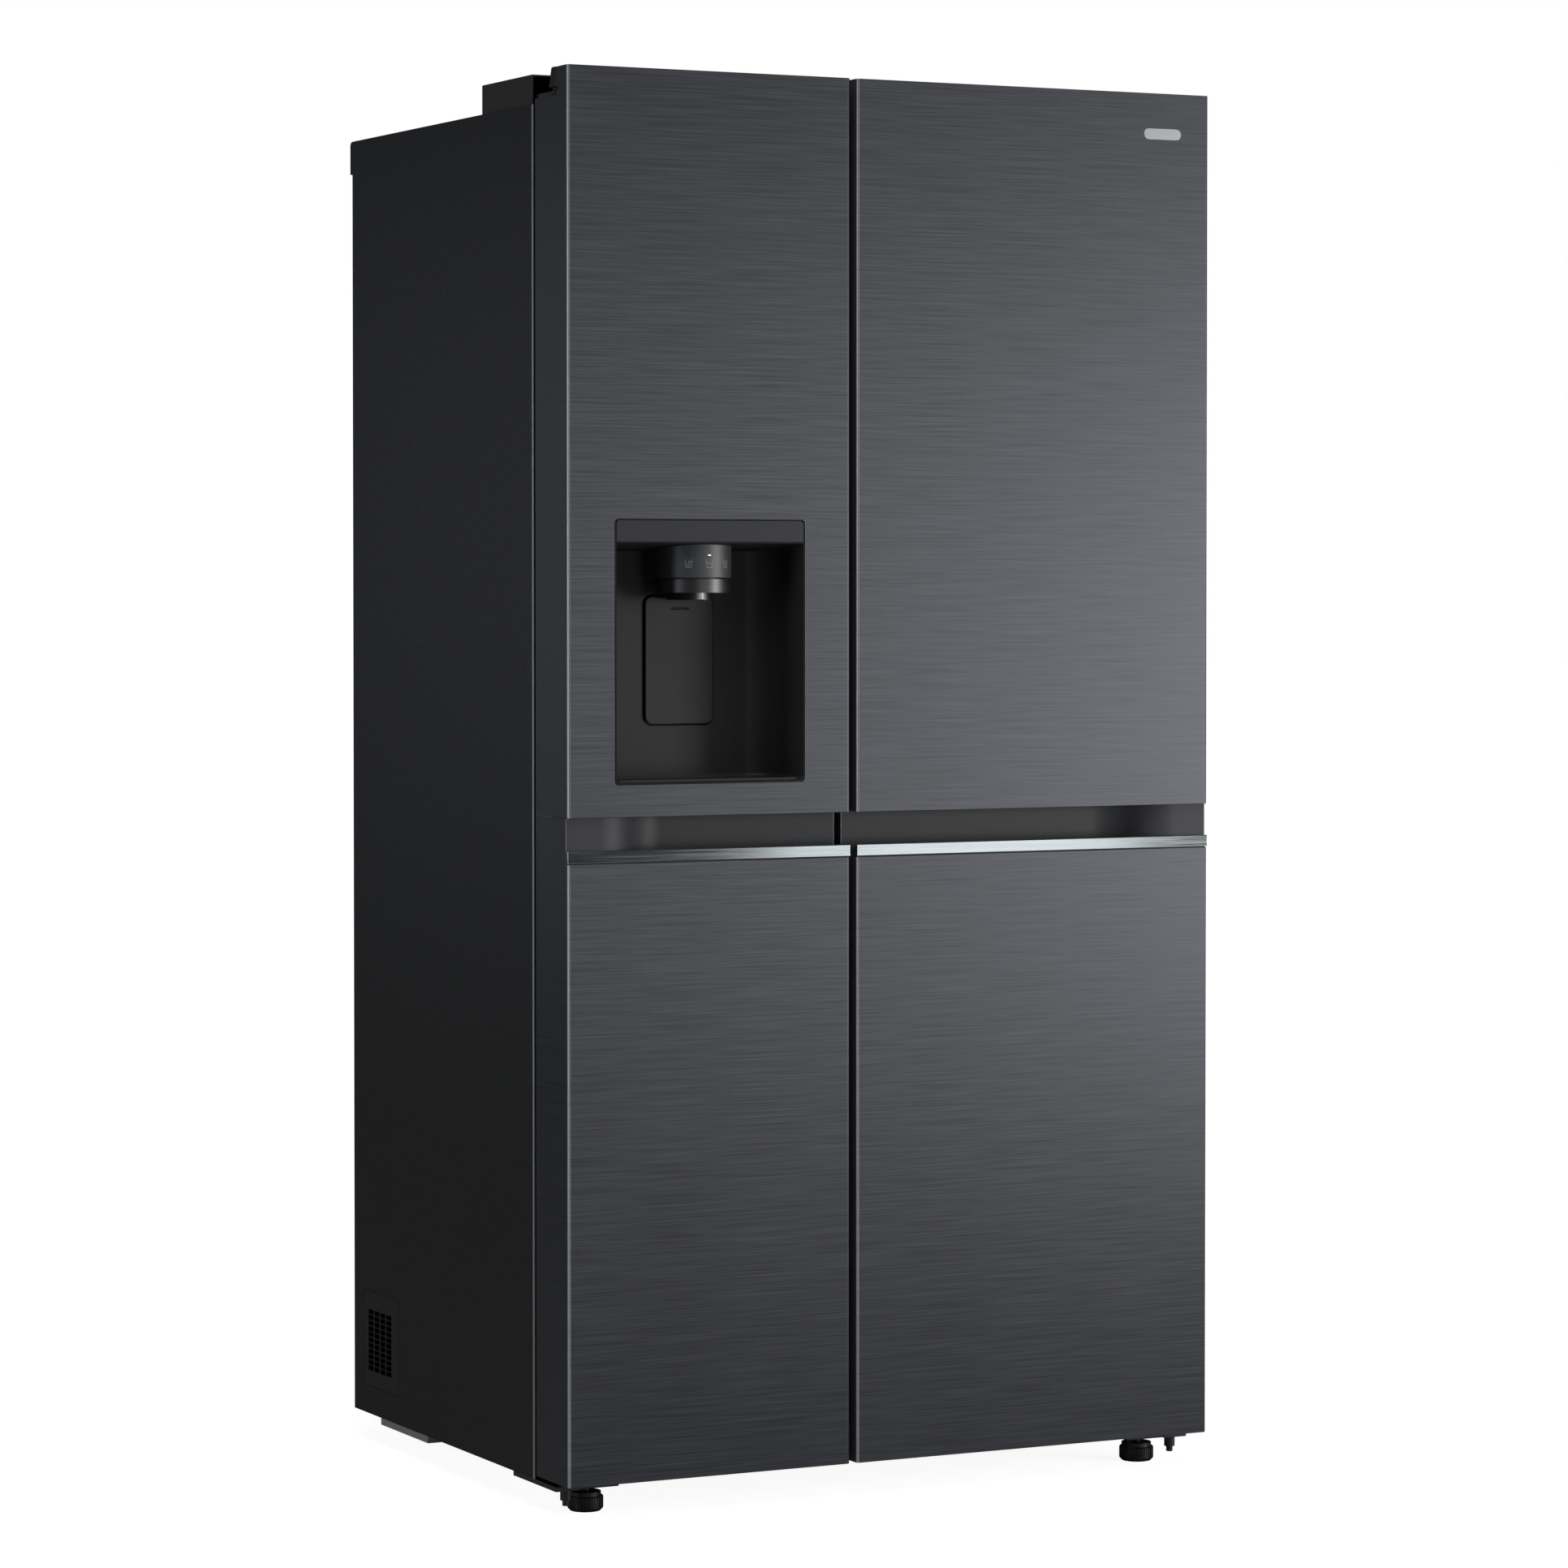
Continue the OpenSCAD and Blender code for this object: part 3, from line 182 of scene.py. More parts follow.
# Grey for the door side faces in the gap between the doors: partly the side trim's own grey, partly made
# lighter as painted bounce light that dark steel would not catch.
GAP_TRIM_AND_BOUNCE_LIGHT = painted("gap_trim_grey_and_painted_bounce_light", (0.078, 0.079, 0.086), 0.5)
POCKET = painted("pocket_satin", (0.057, 0.058, 0.063), 0.50, 300.0, 0.02, 0.3)
BAND = painted("band_satin", (0.030, 0.0315, 0.037), 0.36, 500.0, 0.02, 0.4)
NICHE = plastic("niche_plastic", (0.026, 0.026, 0.026), 0.52, 1400.0, 0.10, specular=0.35)
NICHE_FRAME = plastic("niche_frame_black", (0.004, 0.004, 0.004), 0.5, 1400.0, 0.05, specular=0.2)
LEVER = plastic("lever_plastic", (0.026, 0.026, 0.026), 0.50, 1400.0, 0.08, specular=0.35)
DRUM = painted("drum_lacquer", (0.030, 0.032, 0.038), 0.50, 700.0, 0.02, 1.0)
RING = brushed("ring_metal", (0.105, 0.105, 0.108), 0.42, (14.0, 14.0, 1100.0), 0.30, 0.0, 0.04)
CHUTE = plastic("chute_plastic", (0.010, 0.010, 0.012), 0.35)
NOZZLE = painted("nozzle_bright", (0.86, 0.88, 0.88), 0.2, 900.0)
ICON = painted("icon_print", (0.30, 0.30, 0.31), 0.5, 900.0)
ICON_OFF = painted("icon_lamp_off", (0.01, 0.01, 0.011), 0.4, 900.0)
ICON_ON = glowing("icon_lamp_on", (1.0, 1.0, 1.0), 1.6)
COVER = plastic("hinge_cover_plastic", (0.0185, 0.0173, 0.016), 0.50, 1000.0, 0.15, specular=0.4)
TRIM_BLACK = plastic("black_trim_plastic", (0.0045, 0.0045, 0.0048), 0.50, 900.0, 0.12, specular=0.25)
GRILLE = plastic("grille_plastic", (0.0075, 0.0078, 0.0085), 0.48, 900.0, 0.10, specular=0.3)
RUBBER = plastic("gasket_rubber", (0.020, 0.020, 0.021), 0.70, 700.0, 0.10, specular=0.2)
FOOT = plastic("foot_plastic", (0.0060, 0.0060, 0.0066), 0.40, 800.0, 0.15)
BRACKET = painted("bracket_paint", (0.0080, 0.0080, 0.0085), 0.42, 200.0)
ZINC = brushed("zinc_sheet", (0.46, 0.48, 0.49), 0.38, (60.0, 60.0, 20.0), 0.10, 0.0, 0.02)
PLATED = brushed("hinge_plating", (0.52, 0.54, 0.56), 0.22, (200.0, 200.0, 30.0), 0.06, 0.0, 0.02)
LINER = painted("liner_white", (0.78, 0.80, 0.81), 0.30, 220.0, 0.04)
DUCT = painted("duct_white", (0.72, 0.74, 0.76), 0.34, 260.0, 0.04)
ICE_CASE = painted("ice_case_white", (0.70, 0.74, 0.77), 0.28, 260.0, 0.03)
EDGE = painted("shelf_edge_grey", (0.55, 0.58, 0.60), 0.30, 300.0, 0.03)
PANE = clear("shelf_pane", (0.70, 0.84, 0.82), 0.05, 0.28)
CLEAR = clear("clear_plastic", (0.74, 0.84, 0.88), 0.12, 0.34)
LENS = glowing("lens_glow", (1.0, 0.98, 0.95), 1.2)
FOAM = plastic("insulation_foam", (0.62, 0.52, 0.30), 0.9, 300.0, 0.4, 0.10)
COIL = painted("coil_black", (0.012, 0.012, 0.013), 0.4, 200.0)
FINS = brushed("coil_fins", (0.66, 0.68, 0.70), 0.35, (40.0, 40.0, 300.0), 0.08, 0.0, 0.02)
FAN = plastic("fan_plastic", (0.020, 0.020, 0.021), 0.45)
COMPRESSOR = painted("compressor_paint", (0.008, 0.008, 0.009), 0.30, 90.0, 0.05)
VALVE = plastic("valve_plastic", (0.66, 0.66, 0.64), 0.4)
BADGE = brushed("badge_metal", (0.31, 0.315, 0.325), 0.32, (8.0, 8.0, 700.0), 0.05, 0.2, 0.02)


# ---------------------------------------------------------------- mesh tools

def corner(node):
    """Low and high corner of a node's box."""
    low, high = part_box(node)
    return Vector(low), Vector(high)


def as_object(name, mesh_data, material):
    mesh = bpy.data.meshes.new(name)
    mesh_data.normal_update()
    mesh_data.to_mesh(mesh)
    mesh_data.free()
    piece = bpy.data.objects.new(name, mesh)
    bpy.context.scene.collection.objects.link(piece)
    mesh.materials.append(material)
    return piece


def smooth(piece, sharp_degrees=35.0):
    """Smooth shading, with the edges sharper than the angle kept sharp."""
    mesh_data = bmesh.new()
    mesh_data.from_mesh(piece.data)
    limit = math.radians(sharp_degrees)
    for face in mesh_data.faces:
        face.smooth = True
    for edge in mesh_data.edges:
        if len(edge.link_faces) == 2:
            edge.smooth = edge.calc_face_angle(0.0) < limit
    mesh_data.to_mesh(piece.data)
    mesh_data.free()
    return modified(piece, "WEIGHTED_NORMAL", keep_sharp=True, weight=100)


def tinted(piece, material, chosen):
    """Gives another material to the faces for which chosen(normal, center) is true."""
    piece.data.materials.append(material)
    for polygon in piece.data.polygons:
        if chosen(polygon.normal, polygon.center):
            polygon.material_index = len(piece.data.materials) - 1
    return piece


def place(piece, node, hide=True):
    """Puts a piece on its node's body and, unless told not to, hides the node."""
    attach(piece, NODE_BODY[node])
    if hide:
        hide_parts(node)
    return piece


def prism(outline, axis, low, high):
    """Closed outline pushed along an axis; its points are (y, z) for x, (x, z) for y and (x, y) for z."""
    order = {
        "x": lambda u, v, w: (w, u, v),
        "y": lambda u, v, w: (u, w, v),
        "z": lambda u, v, w: (u, v, w),
    }[axis]
    mesh_data = bmesh.new()
    lower = [mesh_data.verts.new(order(u, v, low)) for u, v in outline]
    upper = [mesh_data.verts.new(order(u, v, high)) for u, v in outline]
    mesh_data.faces.new(lower)
    mesh_data.faces.new(upper[::-1])
    count = len(outline)
    for k in range(count):
        n = (k + 1) % count
        mesh_data.faces.new((lower[n], lower[k], upper[k], upper[n]))
    bmesh.ops.recalc_face_normals(mesh_data, faces=mesh_data.faces)
    return mesh_data


def arc(center, radius, start, end, steps=8):
    """Points on a circle between two angles in degrees, both ends included."""
    return [
        (
            center[0] + radius * math.cos(math.radians(start + (end - start) * k / steps)),
            center[1] + radius * math.sin(math.radians(start + (end - start) * k / steps)),
        )
        for k in range(steps + 1)
    ]


def rounded(u0, u1, v0, v1, radii):
    """Rectangle with its own radius at each corner: low-low, high-low, high-high, low-high."""
    a, b, c, d = radii if isinstance(radii, tuple) else (radii,) * 4
    return (
        arc((u0 + a, v0 + a), a, 180, 270)
        + arc((u1 - b, v0 + b), b, 270, 360)
        + arc((u1 - c, v1 - c), c, 0, 90)
        + arc((u0 + d, v1 - d), d, 90, 180)
    )


def modified(piece, kind, **settings):
    """Adds a modifier and applies it at once."""
    modifier = piece.modifiers.new("step", kind)
    for key, value in settings.items():
        setattr(modifier, key, value)
    evaluated = piece.evaluated_get(bpy.context.evaluated_depsgraph_get())
    mesh = bpy.data.meshes.new_from_object(evaluated)
    piece.modifiers.clear()
    piece.data = mesh
    return piece


def cut(piece, mesh_data, operation="DIFFERENCE"):
    """Boolean with a throw-away solid."""
    cutter = as_object("cutter", mesh_data, piece.data.materials[0])
    modified(piece, "BOOLEAN", object=cutter, operation=operation, solver="EXACT")
    bpy.data.objects.remove(cutter)
    return piece


def bevelled(piece, width, segments=3, degrees=35.0):
    """Rounds the edges that are sharper than the angle."""
    return modified(
        piece, "BEVEL", width=width, segments=segments, limit_method="ANGLE",
        angle_limit=math.radians(degrees), use_clamp_overlap=True, harden_normals=False,
    )


def cleaned(piece):
    """Merges doubled points and flat neighbours, so that bevels run cleanly."""
    mesh_data = bmesh.new()
    mesh_data.from_mesh(piece.data)
    bmesh.ops.remove_doubles(mesh_data, verts=mesh_data.verts, dist=0.00001)
    bmesh.ops.dissolve_limit(
        mesh_data, angle_limit=math.radians(0.5), verts=mesh_data.verts, edges=mesh_data.edges,
        delimit={"NORMAL"},
    )
    mesh_data.to_mesh(piece.data)
    mesh_data.free()
    return piece


def box_solid(low, high):
    mesh_data = bmesh.new()
    bmesh.ops.create_cube(mesh_data, size=1.0)
    low, high = Vector(low), Vector(high)
    for vert in mesh_data.verts:
        vert.co = Vector(low[k] + (vert.co[k] + 0.5) * (high[k] - low[k]) for k in range(3))
    return mesh_data


def refined(node, material, width, segments=2):
    """A bevelled, smooth-shaded piece that stands for a CAD node of the same shape."""
    piece = frame["nodes"][node].copy()
    piece.data = frame["nodes"][node].data.copy()
    piece.name = node + "_form"
    piece.parent = None
    piece.matrix_world = Matrix.Identity(4)
    bpy.context.scene.collection.objects.link(piece)
    piece.data.materials.clear()
    piece.data.materials.append(material)
    for polygon in piece.data.polygons:
        polygon.material_index = 0
    cleaned(piece)
    bevelled(piece, width, segments)
    smooth(piece)
    return place(piece, node)


# ---------------------------------------------------------------- doors

EDGE_R = 4.0 * MM           # round of the folded door edges
SHEET = 1.0 * MM            # thickness of the door sheet
GROW = 5.0 * MM             # how far cutters reach past the surface they cut
FINE_BEVEL = 0.35 * MM
SEAM_DROP = 2 * MM          # the panels meet this far below the top of the finger pocket
SEAM_GAP = 0.4 * MM
NOTCH_IN = 60 * MM          # hinge notch: its inner side, from the hinge side of the door
NOTCH_FRONT = 27 * MM
NOTCH_DEEP = 34 * MM
STRIP_GAP = 1.3 * MM        # between the lower panel and the polished strip
STRIP_CHAMFER = 0.6 * MM
STRIP_BEVEL = 0.25 * MM
EDGE_REACH = 0.2 * MM       # how close to the free edge a face lies that takes the gap's grey
POCKET_FRONT = 7 * MM       # depth of the lower panel's cut in front of the pocket
POCKET_SIDE = 45 * MM       # depth of that cut at the free edge of the door
HOUSING_R = 5 * MM
BADGE_LIP = 0.1 * MM


def sheet_outline(low, high, front, back, radius):
    """Plan of a folded door sheet: two sides and a front with round front corners."""
    outer = (
        [(low, back)] + arc((low + radius, front + radius), radius, 180, 270)
        + arc((high - radius, front + radius), radius, 270, 360) + [(high, back)]
    )
    inner = (
        [(high - SHEET, back)] + arc((high - radius, front + radius), radius - SHEET, 360, 270)
        + arc((low + radius, front + radius), radius - SHEET, 270, 180) + [(low + SHEET, back)]
    )
    return outer + inner


def door_panels(side, hinge_sign):
    """Upper and lower steel panels of a door, with the hinge notch and the room for the pocket."""
    skin_low, skin_high = corner(side + "_door_skin")
    trim_low = corner(side + "_trim")[0]
    pocket_top = corner(side + "_pocket")[1].z - SEAM_DROP
    outline = sheet_outline(skin_low.x, skin_high.x, skin_low.y, skin_high.y, EDGE_R)
    upper = as_object(side + "_upper_panel", prism(outline, "z", pocket_top, skin_high.z), STEEL)
    notch_x = hinge_sign * (abs(skin_low.x if hinge_sign < 0 else skin_high.x) - NOTCH_IN)
    outside = notch_x + hinge_sign * (NOTCH_IN + 2 * GROW)
    cut(upper, box_solid(
        (min(notch_x, outside), skin_low.y + NOTCH_FRONT, skin_high.z - NOTCH_DEEP),
        (max(notch_x, outside), skin_high.y + GROW, skin_high.z + GROW),
    ))
    if side == "freezer":
        house_low, house_high = corner("dispenser_housing")
        hole = rounded(house_low.x, house_high.x, house_low.z, house_high.z, HOUSING_R)
        cut(upper, prism(hole, "y", skin_low.y - GROW, skin_low.y + 2 * SHEET))
    else:
        mark_low, mark_high = corner("badge")
        radius = (mark_high.z - mark_low.z) / 2 - BADGE_LIP
        hole = rounded(mark_low.x, mark_high.x, mark_low.z, mark_high.z, radius)
        cut(upper, prism(hole, "y", skin_low.y - GROW, skin_low.y + 2 * SHEET))
    lower = as_object(side + "_lower_panel", prism(outline, "z", skin_low.z, pocket_top - SEAM_GAP), STEEL)
    panel_top = trim_low.z - STRIP_GAP
    cut(lower, box_solid(
        (skin_low.x - GROW, skin_low.y - GROW, panel_top),
        (skin_high.x + GROW, skin_low.y + POCKET_FRONT, pocket_top + GROW),
    ))
    free = skin_high.x if hinge_sign < 0 else skin_low.x
    cut(lower, box_solid(
        (free - GROW, skin_low.y - GROW, panel_top),
        (free + GROW, skin_low.y + POCKET_SIDE, pocket_top + GROW),
    ))
    for piece in (upper, lower):
        bevelled(piece, FINE_BEVEL, 2)
        smooth(piece, 30)
        # Faces turned to the front and left take the lighter steel: a painted highlight along the rounded
        # edge.
        tinted(piece, STEEL_EDGE_HIGHLIGHT, lambda normal, center: normal.y < -0.2 and normal.x < -0.2)
        # The free side face takes the gap grey: partly trim colour, partly painted bounce light inside the
        # gap.
        tinted(piece, GAP_TRIM_AND_BOUNCE_LIGHT, lambda normal, center: (
            abs(normal.x) > 0.9 and abs(center.x - free) < EDGE_REACH
        ))
        place(piece, side + "_door_skin")


def trim_strip(side):
    """Polished strip: flat face with fine chamfers along both long edges and closed ends."""
    low, high = corner(side + "_trim")
    profile = [
        (high.y, low.z), (high.y, high.z),
        (low.y + STRIP_CHAMFER, high.z), (low.y, high.z - STRIP_CHAMFER),
        (low.y, low.z + STRIP_CHAMFER), (low.y + STRIP_CHAMFER, low.z),
    ]
    piece = as_object(side + "_handle_strip", prism(profile, "x", low.x, high.x), CHROME)
    bevelled(piece, STRIP_BEVEL, 2, 20)
    place(smooth(piece, 25), side + "_trim")


for door, sign in (("freezer", -1), ("fridge", 1)):
    door_panels(door, sign)
    trim_strip(door)
    refined(door + "_pocket", POCKET, 1.2 * MM, 3)
    refined(door + "_door_caps", TRIM_BLACK, 0.6 * MM)
    refined(door + "_door_liner", LINER, 4.0 * MM, 4)
    refined(door + "_gasket", RUBBER, 1.2 * MM, 3)
    refined(door + "_door_bins", CLEAR, 0.8 * MM)

refined("ice_maker", ICE_CASE, 4.0 * MM, 4)


# ---------------------------------------------------------------- dispenser

house_low, house_high = corner("dispenser_housing")
band_low, band_high = corner("control_panel")
drum_low, drum_high = corner("selector_drum")
ring_high = corner("dispenser_ring")[1]
lever_low, lever_high = corner("dispenser_lever")
tray_low = corner("drip_tray")[0]

DISP_X = (drum_low.x + drum_high.x) / 2
DRUM_R = (drum_high.x - drum_low.x) / 2
DRUM_Y = drum_low.y + DRUM_R
NICHE_BACK = drum_high.y
DRUM_Z0 = ring_high.z + MM
NICHE_X0 = band_low.x
NICHE_X1 = band_high.x
NICHE_Z0 = tray_low.z
BAND_GAP = 0.3 * MM
BAND_R = (0.5 * MM, 0.5 * MM, 4 * MM, 4 * MM)
NICHE_Z1 = band_low.z - 1.2 * MM
NICHE_DROP = 9.8 * MM       # how far the ceiling falls from front to back
NICHE_FILLET = 38 * MM      # round of the niche's back corners
FRAME_FRONT = 1.2 * MM      # depth of the black frame in front of the niche
NECK_IN = 8 * MM            # the drum's neck is this much smaller all round
NECK_SIDES = 48
PAD_W = 94 * MM
PAD_Z0 = lever_low.z
PAD_Z1 = lever_high.z
PAD_R = 10 * MM
RECESS_GAP = 2 * MM         # between the lever pad and the rim of its recess
RECESS_WALL = 2 * MM
FLOOR_R = 7 * MM            # round between the niche's floor and its walls
SLOT_HALF = 12.3 * MM       # groove across the lever pad: half its width
SLOT_HEIGHT = 2 * MM
SLOT_DROP = 14.2 * MM       # from the top of the pad down to the groove
SLOT_DEPTH = 1.8 * MM
SLOT_R = 0.9 * MM


def niche_solid():
    """The hollow of the niche: round back corners, a soft floor edge, a ceiling that falls to the back."""
    front = house_low.y - GROW
    plan = (
        [(NICHE_X0, front), (NICHE_X1, front)]
        + arc((NICHE_X1 - NICHE_FILLET, NICHE_BACK - NICHE_FILLET), NICHE_FILLET, 0, 90, 14)
        + arc((NICHE_X0 + NICHE_FILLET, NICHE_BACK - NICHE_FILLET), NICHE_FILLET, 90, 180, 14)
    )
    mesh_data = prism(plan, "z", NICHE_Z0, NICHE_Z1)
    depth = NICHE_BACK - house_low.y
    for vert in mesh_data.verts:
        if vert.co.z > NICHE_Z1 - MM:
            vert.co.z -= NICHE_DROP * max(0.0, vert.co.y - house_low.y) / depth
    floor_edges = [
        e for e in mesh_data.edges
        if all(v.co.z < NICHE_Z0 + MM for v in e.verts) and not all(v.co.y < house_low.y for v in e.verts)
    ]
    bmesh.ops.bevel(mesh_data, geom=floor_edges, offset=FLOOR_R, segments=5, profile=0.5, affect="EDGES")
    return mesh_data


def recess_outline(grow):
    """Outline of the lever pad, grown on all sides."""
    x0, x1 = DISP_X - PAD_W / 2 - grow, DISP_X + PAD_W / 2 + grow
    return rounded(x0, x1, PAD_Z0 - grow, PAD_Z1 + grow, PAD_R + grow)


housing = as_object(
    "niche_shell",
    prism(
        rounded(house_low.x, house_high.x, house_low.z, house_high.z, HOUSING_R),
        "y", house_low.y, NICHE_BACK + RECESS_WALL,
    ),
    NICHE,
)
cut(housing, niche_solid())
cup = as_object(
    "recess_cup",
    prism(recess_outline(RECESS_GAP + RECESS_WALL), "y", NICHE_BACK + 0.5 * MM, house_high.y - 0.5 * MM),
    CHUTE,
)
cut(cup, prism(recess_outline(RECESS_GAP), "y", NICHE_BACK, house_high.y - RECESS_WALL))
place(smooth(cup), "dispenser_housing")
cut(housing, prism(recess_outline(RECESS_GAP), "y", NICHE_BACK - 2 * MM, NICHE_BACK + GROW))
cut(housing, box_solid(
    (band_low.x, house_low.y - GROW, band_low.z), (band_high.x, band_high.y, band_high.z)
))
bevelled(housing, 0.8 * MM, 3, 40)
smooth(housing, 40)
tinted(housing, NICHE_FRAME, lambda normal, center: center.y < house_low.y + FRAME_FRONT)
place(housing, "dispenser_housing")

band = as_object(
    "control_band",
    prism(
        rounded(band_low.x + BAND_GAP, band_high.x - BAND_GAP, band_low.z, band_high.z, BAND_R),
        "y", band_low.y, band_high.y,
    ),
    BAND,
)
bevelled(band, 0.6 * MM, 3)
place(smooth(band), "control_panel")


drum_outline = arc((DISP_X, DRUM_Y), DRUM_R, 180, 360, 48) + [
    (DISP_X + DRUM_R, NICHE_BACK), (DISP_X - DRUM_R, NICHE_BACK)
]
drum = as_object("selector_drum_body", prism(drum_outline, "z", DRUM_Z0, NICHE_Z1), DRUM)
cut(drum, niche_solid(), "INTERSECT")
bevelled(drum, 1.6 * MM, 4, 50)
place(smooth(drum, 40), "selector_drum")

neck_outline = arc(
    (DISP_X, DRUM_Y), DRUM_R - NECK_IN, 0, 360 * (NECK_SIDES - 1) / NECK_SIDES, NECK_SIDES - 1
)
neck = as_object("selector_drum_neck", prism(neck_outline, "z", ring_high.z, DRUM_Z0 + MM), CHUTE)
place(smooth(neck), "selector_drum")
refined("dispenser_ring", RING, 0.6 * MM, 3)
refined("ice_chute", CHUTE, 1.0 * MM, 3)
refined("water_nozzle", NOZZLE, 0.4 * MM, 2)
refined("drip_tray", LEVER, 0.5 * MM, 2)

pad = as_object("lever_pad", prism(recess_outline(0.0), "y", lever_low.y, NICHE_BACK), LEVER)
slot_top = PAD_Z1 - SLOT_DROP
slot_outline = rounded(
    DISP_X - SLOT_HALF, DISP_X + SLOT_HALF, slot_top - SLOT_HEIGHT, slot_top, SLOT_R
)
cut(pad, prism(slot_outline, "y", lever_low.y - GROW, lever_low.y + SLOT_DEPTH))
bevelled(pad, 0.9 * MM, 3)
place(smooth(pad), "dispenser_lever")


PRINT_DEPTH = 0.12 * MM
PRINT_LINE = 0.7 * MM
LAMP_LINE = 0.8 * MM
RIBBON_STEPS = 6
ICON_RISE = 18.4 * MM       # the middle of an icon above the drum's lower edge
ICON_TURN = 32.0            # degrees from one icon to the next


def drum_ribbon(points, width):
    """Thin band laid on the drum along (angle, height) points, in degrees from straight ahead."""
    fine = []
    for (a0, z0), (a1, z1) in zip(points, points[1:]):
        for k in range(RIBBON_STEPS):
            share = k / RIBBON_STEPS
            fine.append((a0 + (a1 - a0) * share, z0 + (z1 - z0) * share))
    fine.append(points[-1])

    def on_drum(angle, z, lift):
        radius = DRUM_R + lift
        return Vector((
            DISP_X + radius * math.sin(math.radians(angle)),
            DRUM_Y - radius * math.cos(math.radians(angle)),
            z,
        ))

    mesh_data = bmesh.new()
    rings = []
    for k, (angle, z) in enumerate(fine):
        before, after = fine[max(k - 1, 0)], fine[min(k + 1, len(fine) - 1)]
        along = Vector((math.radians(after[0] - before[0]) * DRUM_R, after[1] - before[1])).normalized()
        side = Vector((-along.y, along.x)) * width / 2
        turn = math.degrees(side.x / DRUM_R)
        rings.append([
            mesh_data.verts.new(on_drum(angle + s * turn, z + s * side.y, lift))
            for s, lift in ((-1, 0), (1, 0), (1, PRINT_DEPTH), (-1, PRINT_DEPTH))
        ])
    for a, b in zip(rings, rings[1:]):
        for k in range(4):
            mesh_data.faces.new((a[k], a[(k + 1) % 4], b[(k + 1) % 4], b[k]))
    mesh_data.faces.new(rings[0][::-1])
    mesh_data.faces.new(rings[-1])
    bmesh.ops.recalc_face_normals(mesh_data, faces=mesh_data.faces)
    return mesh_data


def drum_icon(name, angle, marks, lamp_material):
    """Outline of a drinking glass with a mark inside and a small lamp above it, drawn in millimetres."""
    middle = DRUM_Z0 + ICON_RISE
    per_mm = math.degrees(MM / DRUM_R)

    def spot(u, v):
        return (angle + u * per_mm, middle + v * MM)

    glass = [spot(-4.6, 5.2), spot(-3.3, -5.2), spot(3.3, -5.2), spot(4.6, 5.2)]
    parts = [drum_ribbon(glass, PRINT_LINE)]
    for mark in marks:
        parts.append(drum_ribbon([spot(u, v) for u, v in mark], PRINT_LINE))
    joined = bmesh.new()
    for part in parts:
        mesh = bpy.data.meshes.new("part")
        part.to_mesh(mesh)
        part.free()
        joined.from_mesh(mesh)
        bpy.data.meshes.remove(mesh)
    place(as_object(name, joined, ICON), "selector_drum", hide=False)
    lamp = drum_ribbon([spot(-2.1, 10.2), spot(2.1, 10.2)], LAMP_LINE)
    place(as_object(name + "_lamp", lamp, lamp_material), "selector_drum", hide=False)


CUBES = [
    [(-1.8, -3.2), (0.4, -3.2), (0.4, -1.0), (-1.8, -1.0), (-1.8, -3.2)],
    [(0.2, 0.4), (2.0, 0.8), (1.6, 2.6), (-0.2, 2.2), (0.2, 0.4)],
]
WAVE = [[(-3.7, 0.6), (-2.0, 1.4), (0.0, 0.4), (2.0, -0.4), (3.7, 0.6)]]
CRUSHED = [[(-2.6, -2.6), (2.6, -2.6)], [(-2.9, 0.0), (2.9, 0.0)], [(-3.2, 2.6), (3.2, 2.6)]]
drum_icon("icon_cubes", -ICON_TURN, CUBES, ICON_OFF)
drum_icon("icon_water", 0.0, WAVE, ICON_ON)
drum_icon("icon_crushed", ICON_TURN, CRUSHED, ICON_OFF)


# ---------------------------------------------------------------- cabinet

# The wrap's front edges are bright because their quarter-round folds carry a painted highlight.
CASE_FOLD_R = 2.2 * MM      # round of the wrap's bright front edges
case = refined("outer_case", CASE, 1.6 * MM, 3)
case_low, case_high = corner("outer_case")
fold_y = case_low.y + CASE_FOLD_R
for side, outer_x, inner_x, start in (
    ("left", case_low.x, case_low.x + CASE_FOLD_R, 180),
    ("right", case_high.x, case_high.x - CASE_FOLD_R, 270),
):
    past_x = outer_x + (outer_x - inner_x)
    cut(case, box_solid(
        (min(past_x, inner_x), case_low.y - GROW, case_low.z - GROW),
        (max(past_x, inner_x), fold_y, case_high.z + GROW),
    ))
    quarter = [(inner_x, fold_y)] + arc((inner_x, fold_y), CASE_FOLD_R, start, start + 90)
    # The fold takes bright metal instead of the case paint: a painted highlight along the front edge.
    fold = as_object("case_fold_" + side, prism(quarter, "z", case_low.z, case_high.z), CASE_EDGE_HIGHLIGHT)
    place(smooth(fold), "outer_case", hide=False)
smooth(case)
refined("rear_top_trim", TRIM_BLACK, 0.8 * MM)
refined("side_vent_grille", GRILLE, 0.4 * MM)
refined("hinge_covers", COVER, 2.0 * MM, 3)
refined("top_hinges", BRACKET, 0.5 * MM)
refined("bottom_hinges", BRACKET, 0.8 * MM)
refined("freezer_liner", LINER, 3.0 * MM, 3)
refined("fridge_liner", LINER, 3.0 * MM, 3)
refined("base_frame", BRACKET, 0.6 * MM)
refined("machine_room_cover", GRILLE, 0.4 * MM)
refined("back_panel", ZINC, 0.3 * MM)
refined("compressor_tray", PLATED, 0.5 * MM)
refined("compressor", COMPRESSOR, 3.0 * MM, 3)
refined("duct_covers", DUCT, 1.0 * MM)
refined("light_lenses", LENS, 2.0 * MM, 3)
refined("shelf_frames", EDGE, 1.0 * MM)
refined("shelf_glass", PANE, 0.5 * MM)
refined("freezer_drawer_upper", CLEAR, 1.0 * MM)
refined("freezer_drawer_lower", CLEAR, 1.0 * MM)
refined("crisper_upper", CLEAR, 1.0 * MM)
refined("crisper_lower", CLEAR, 1.0 * MM)
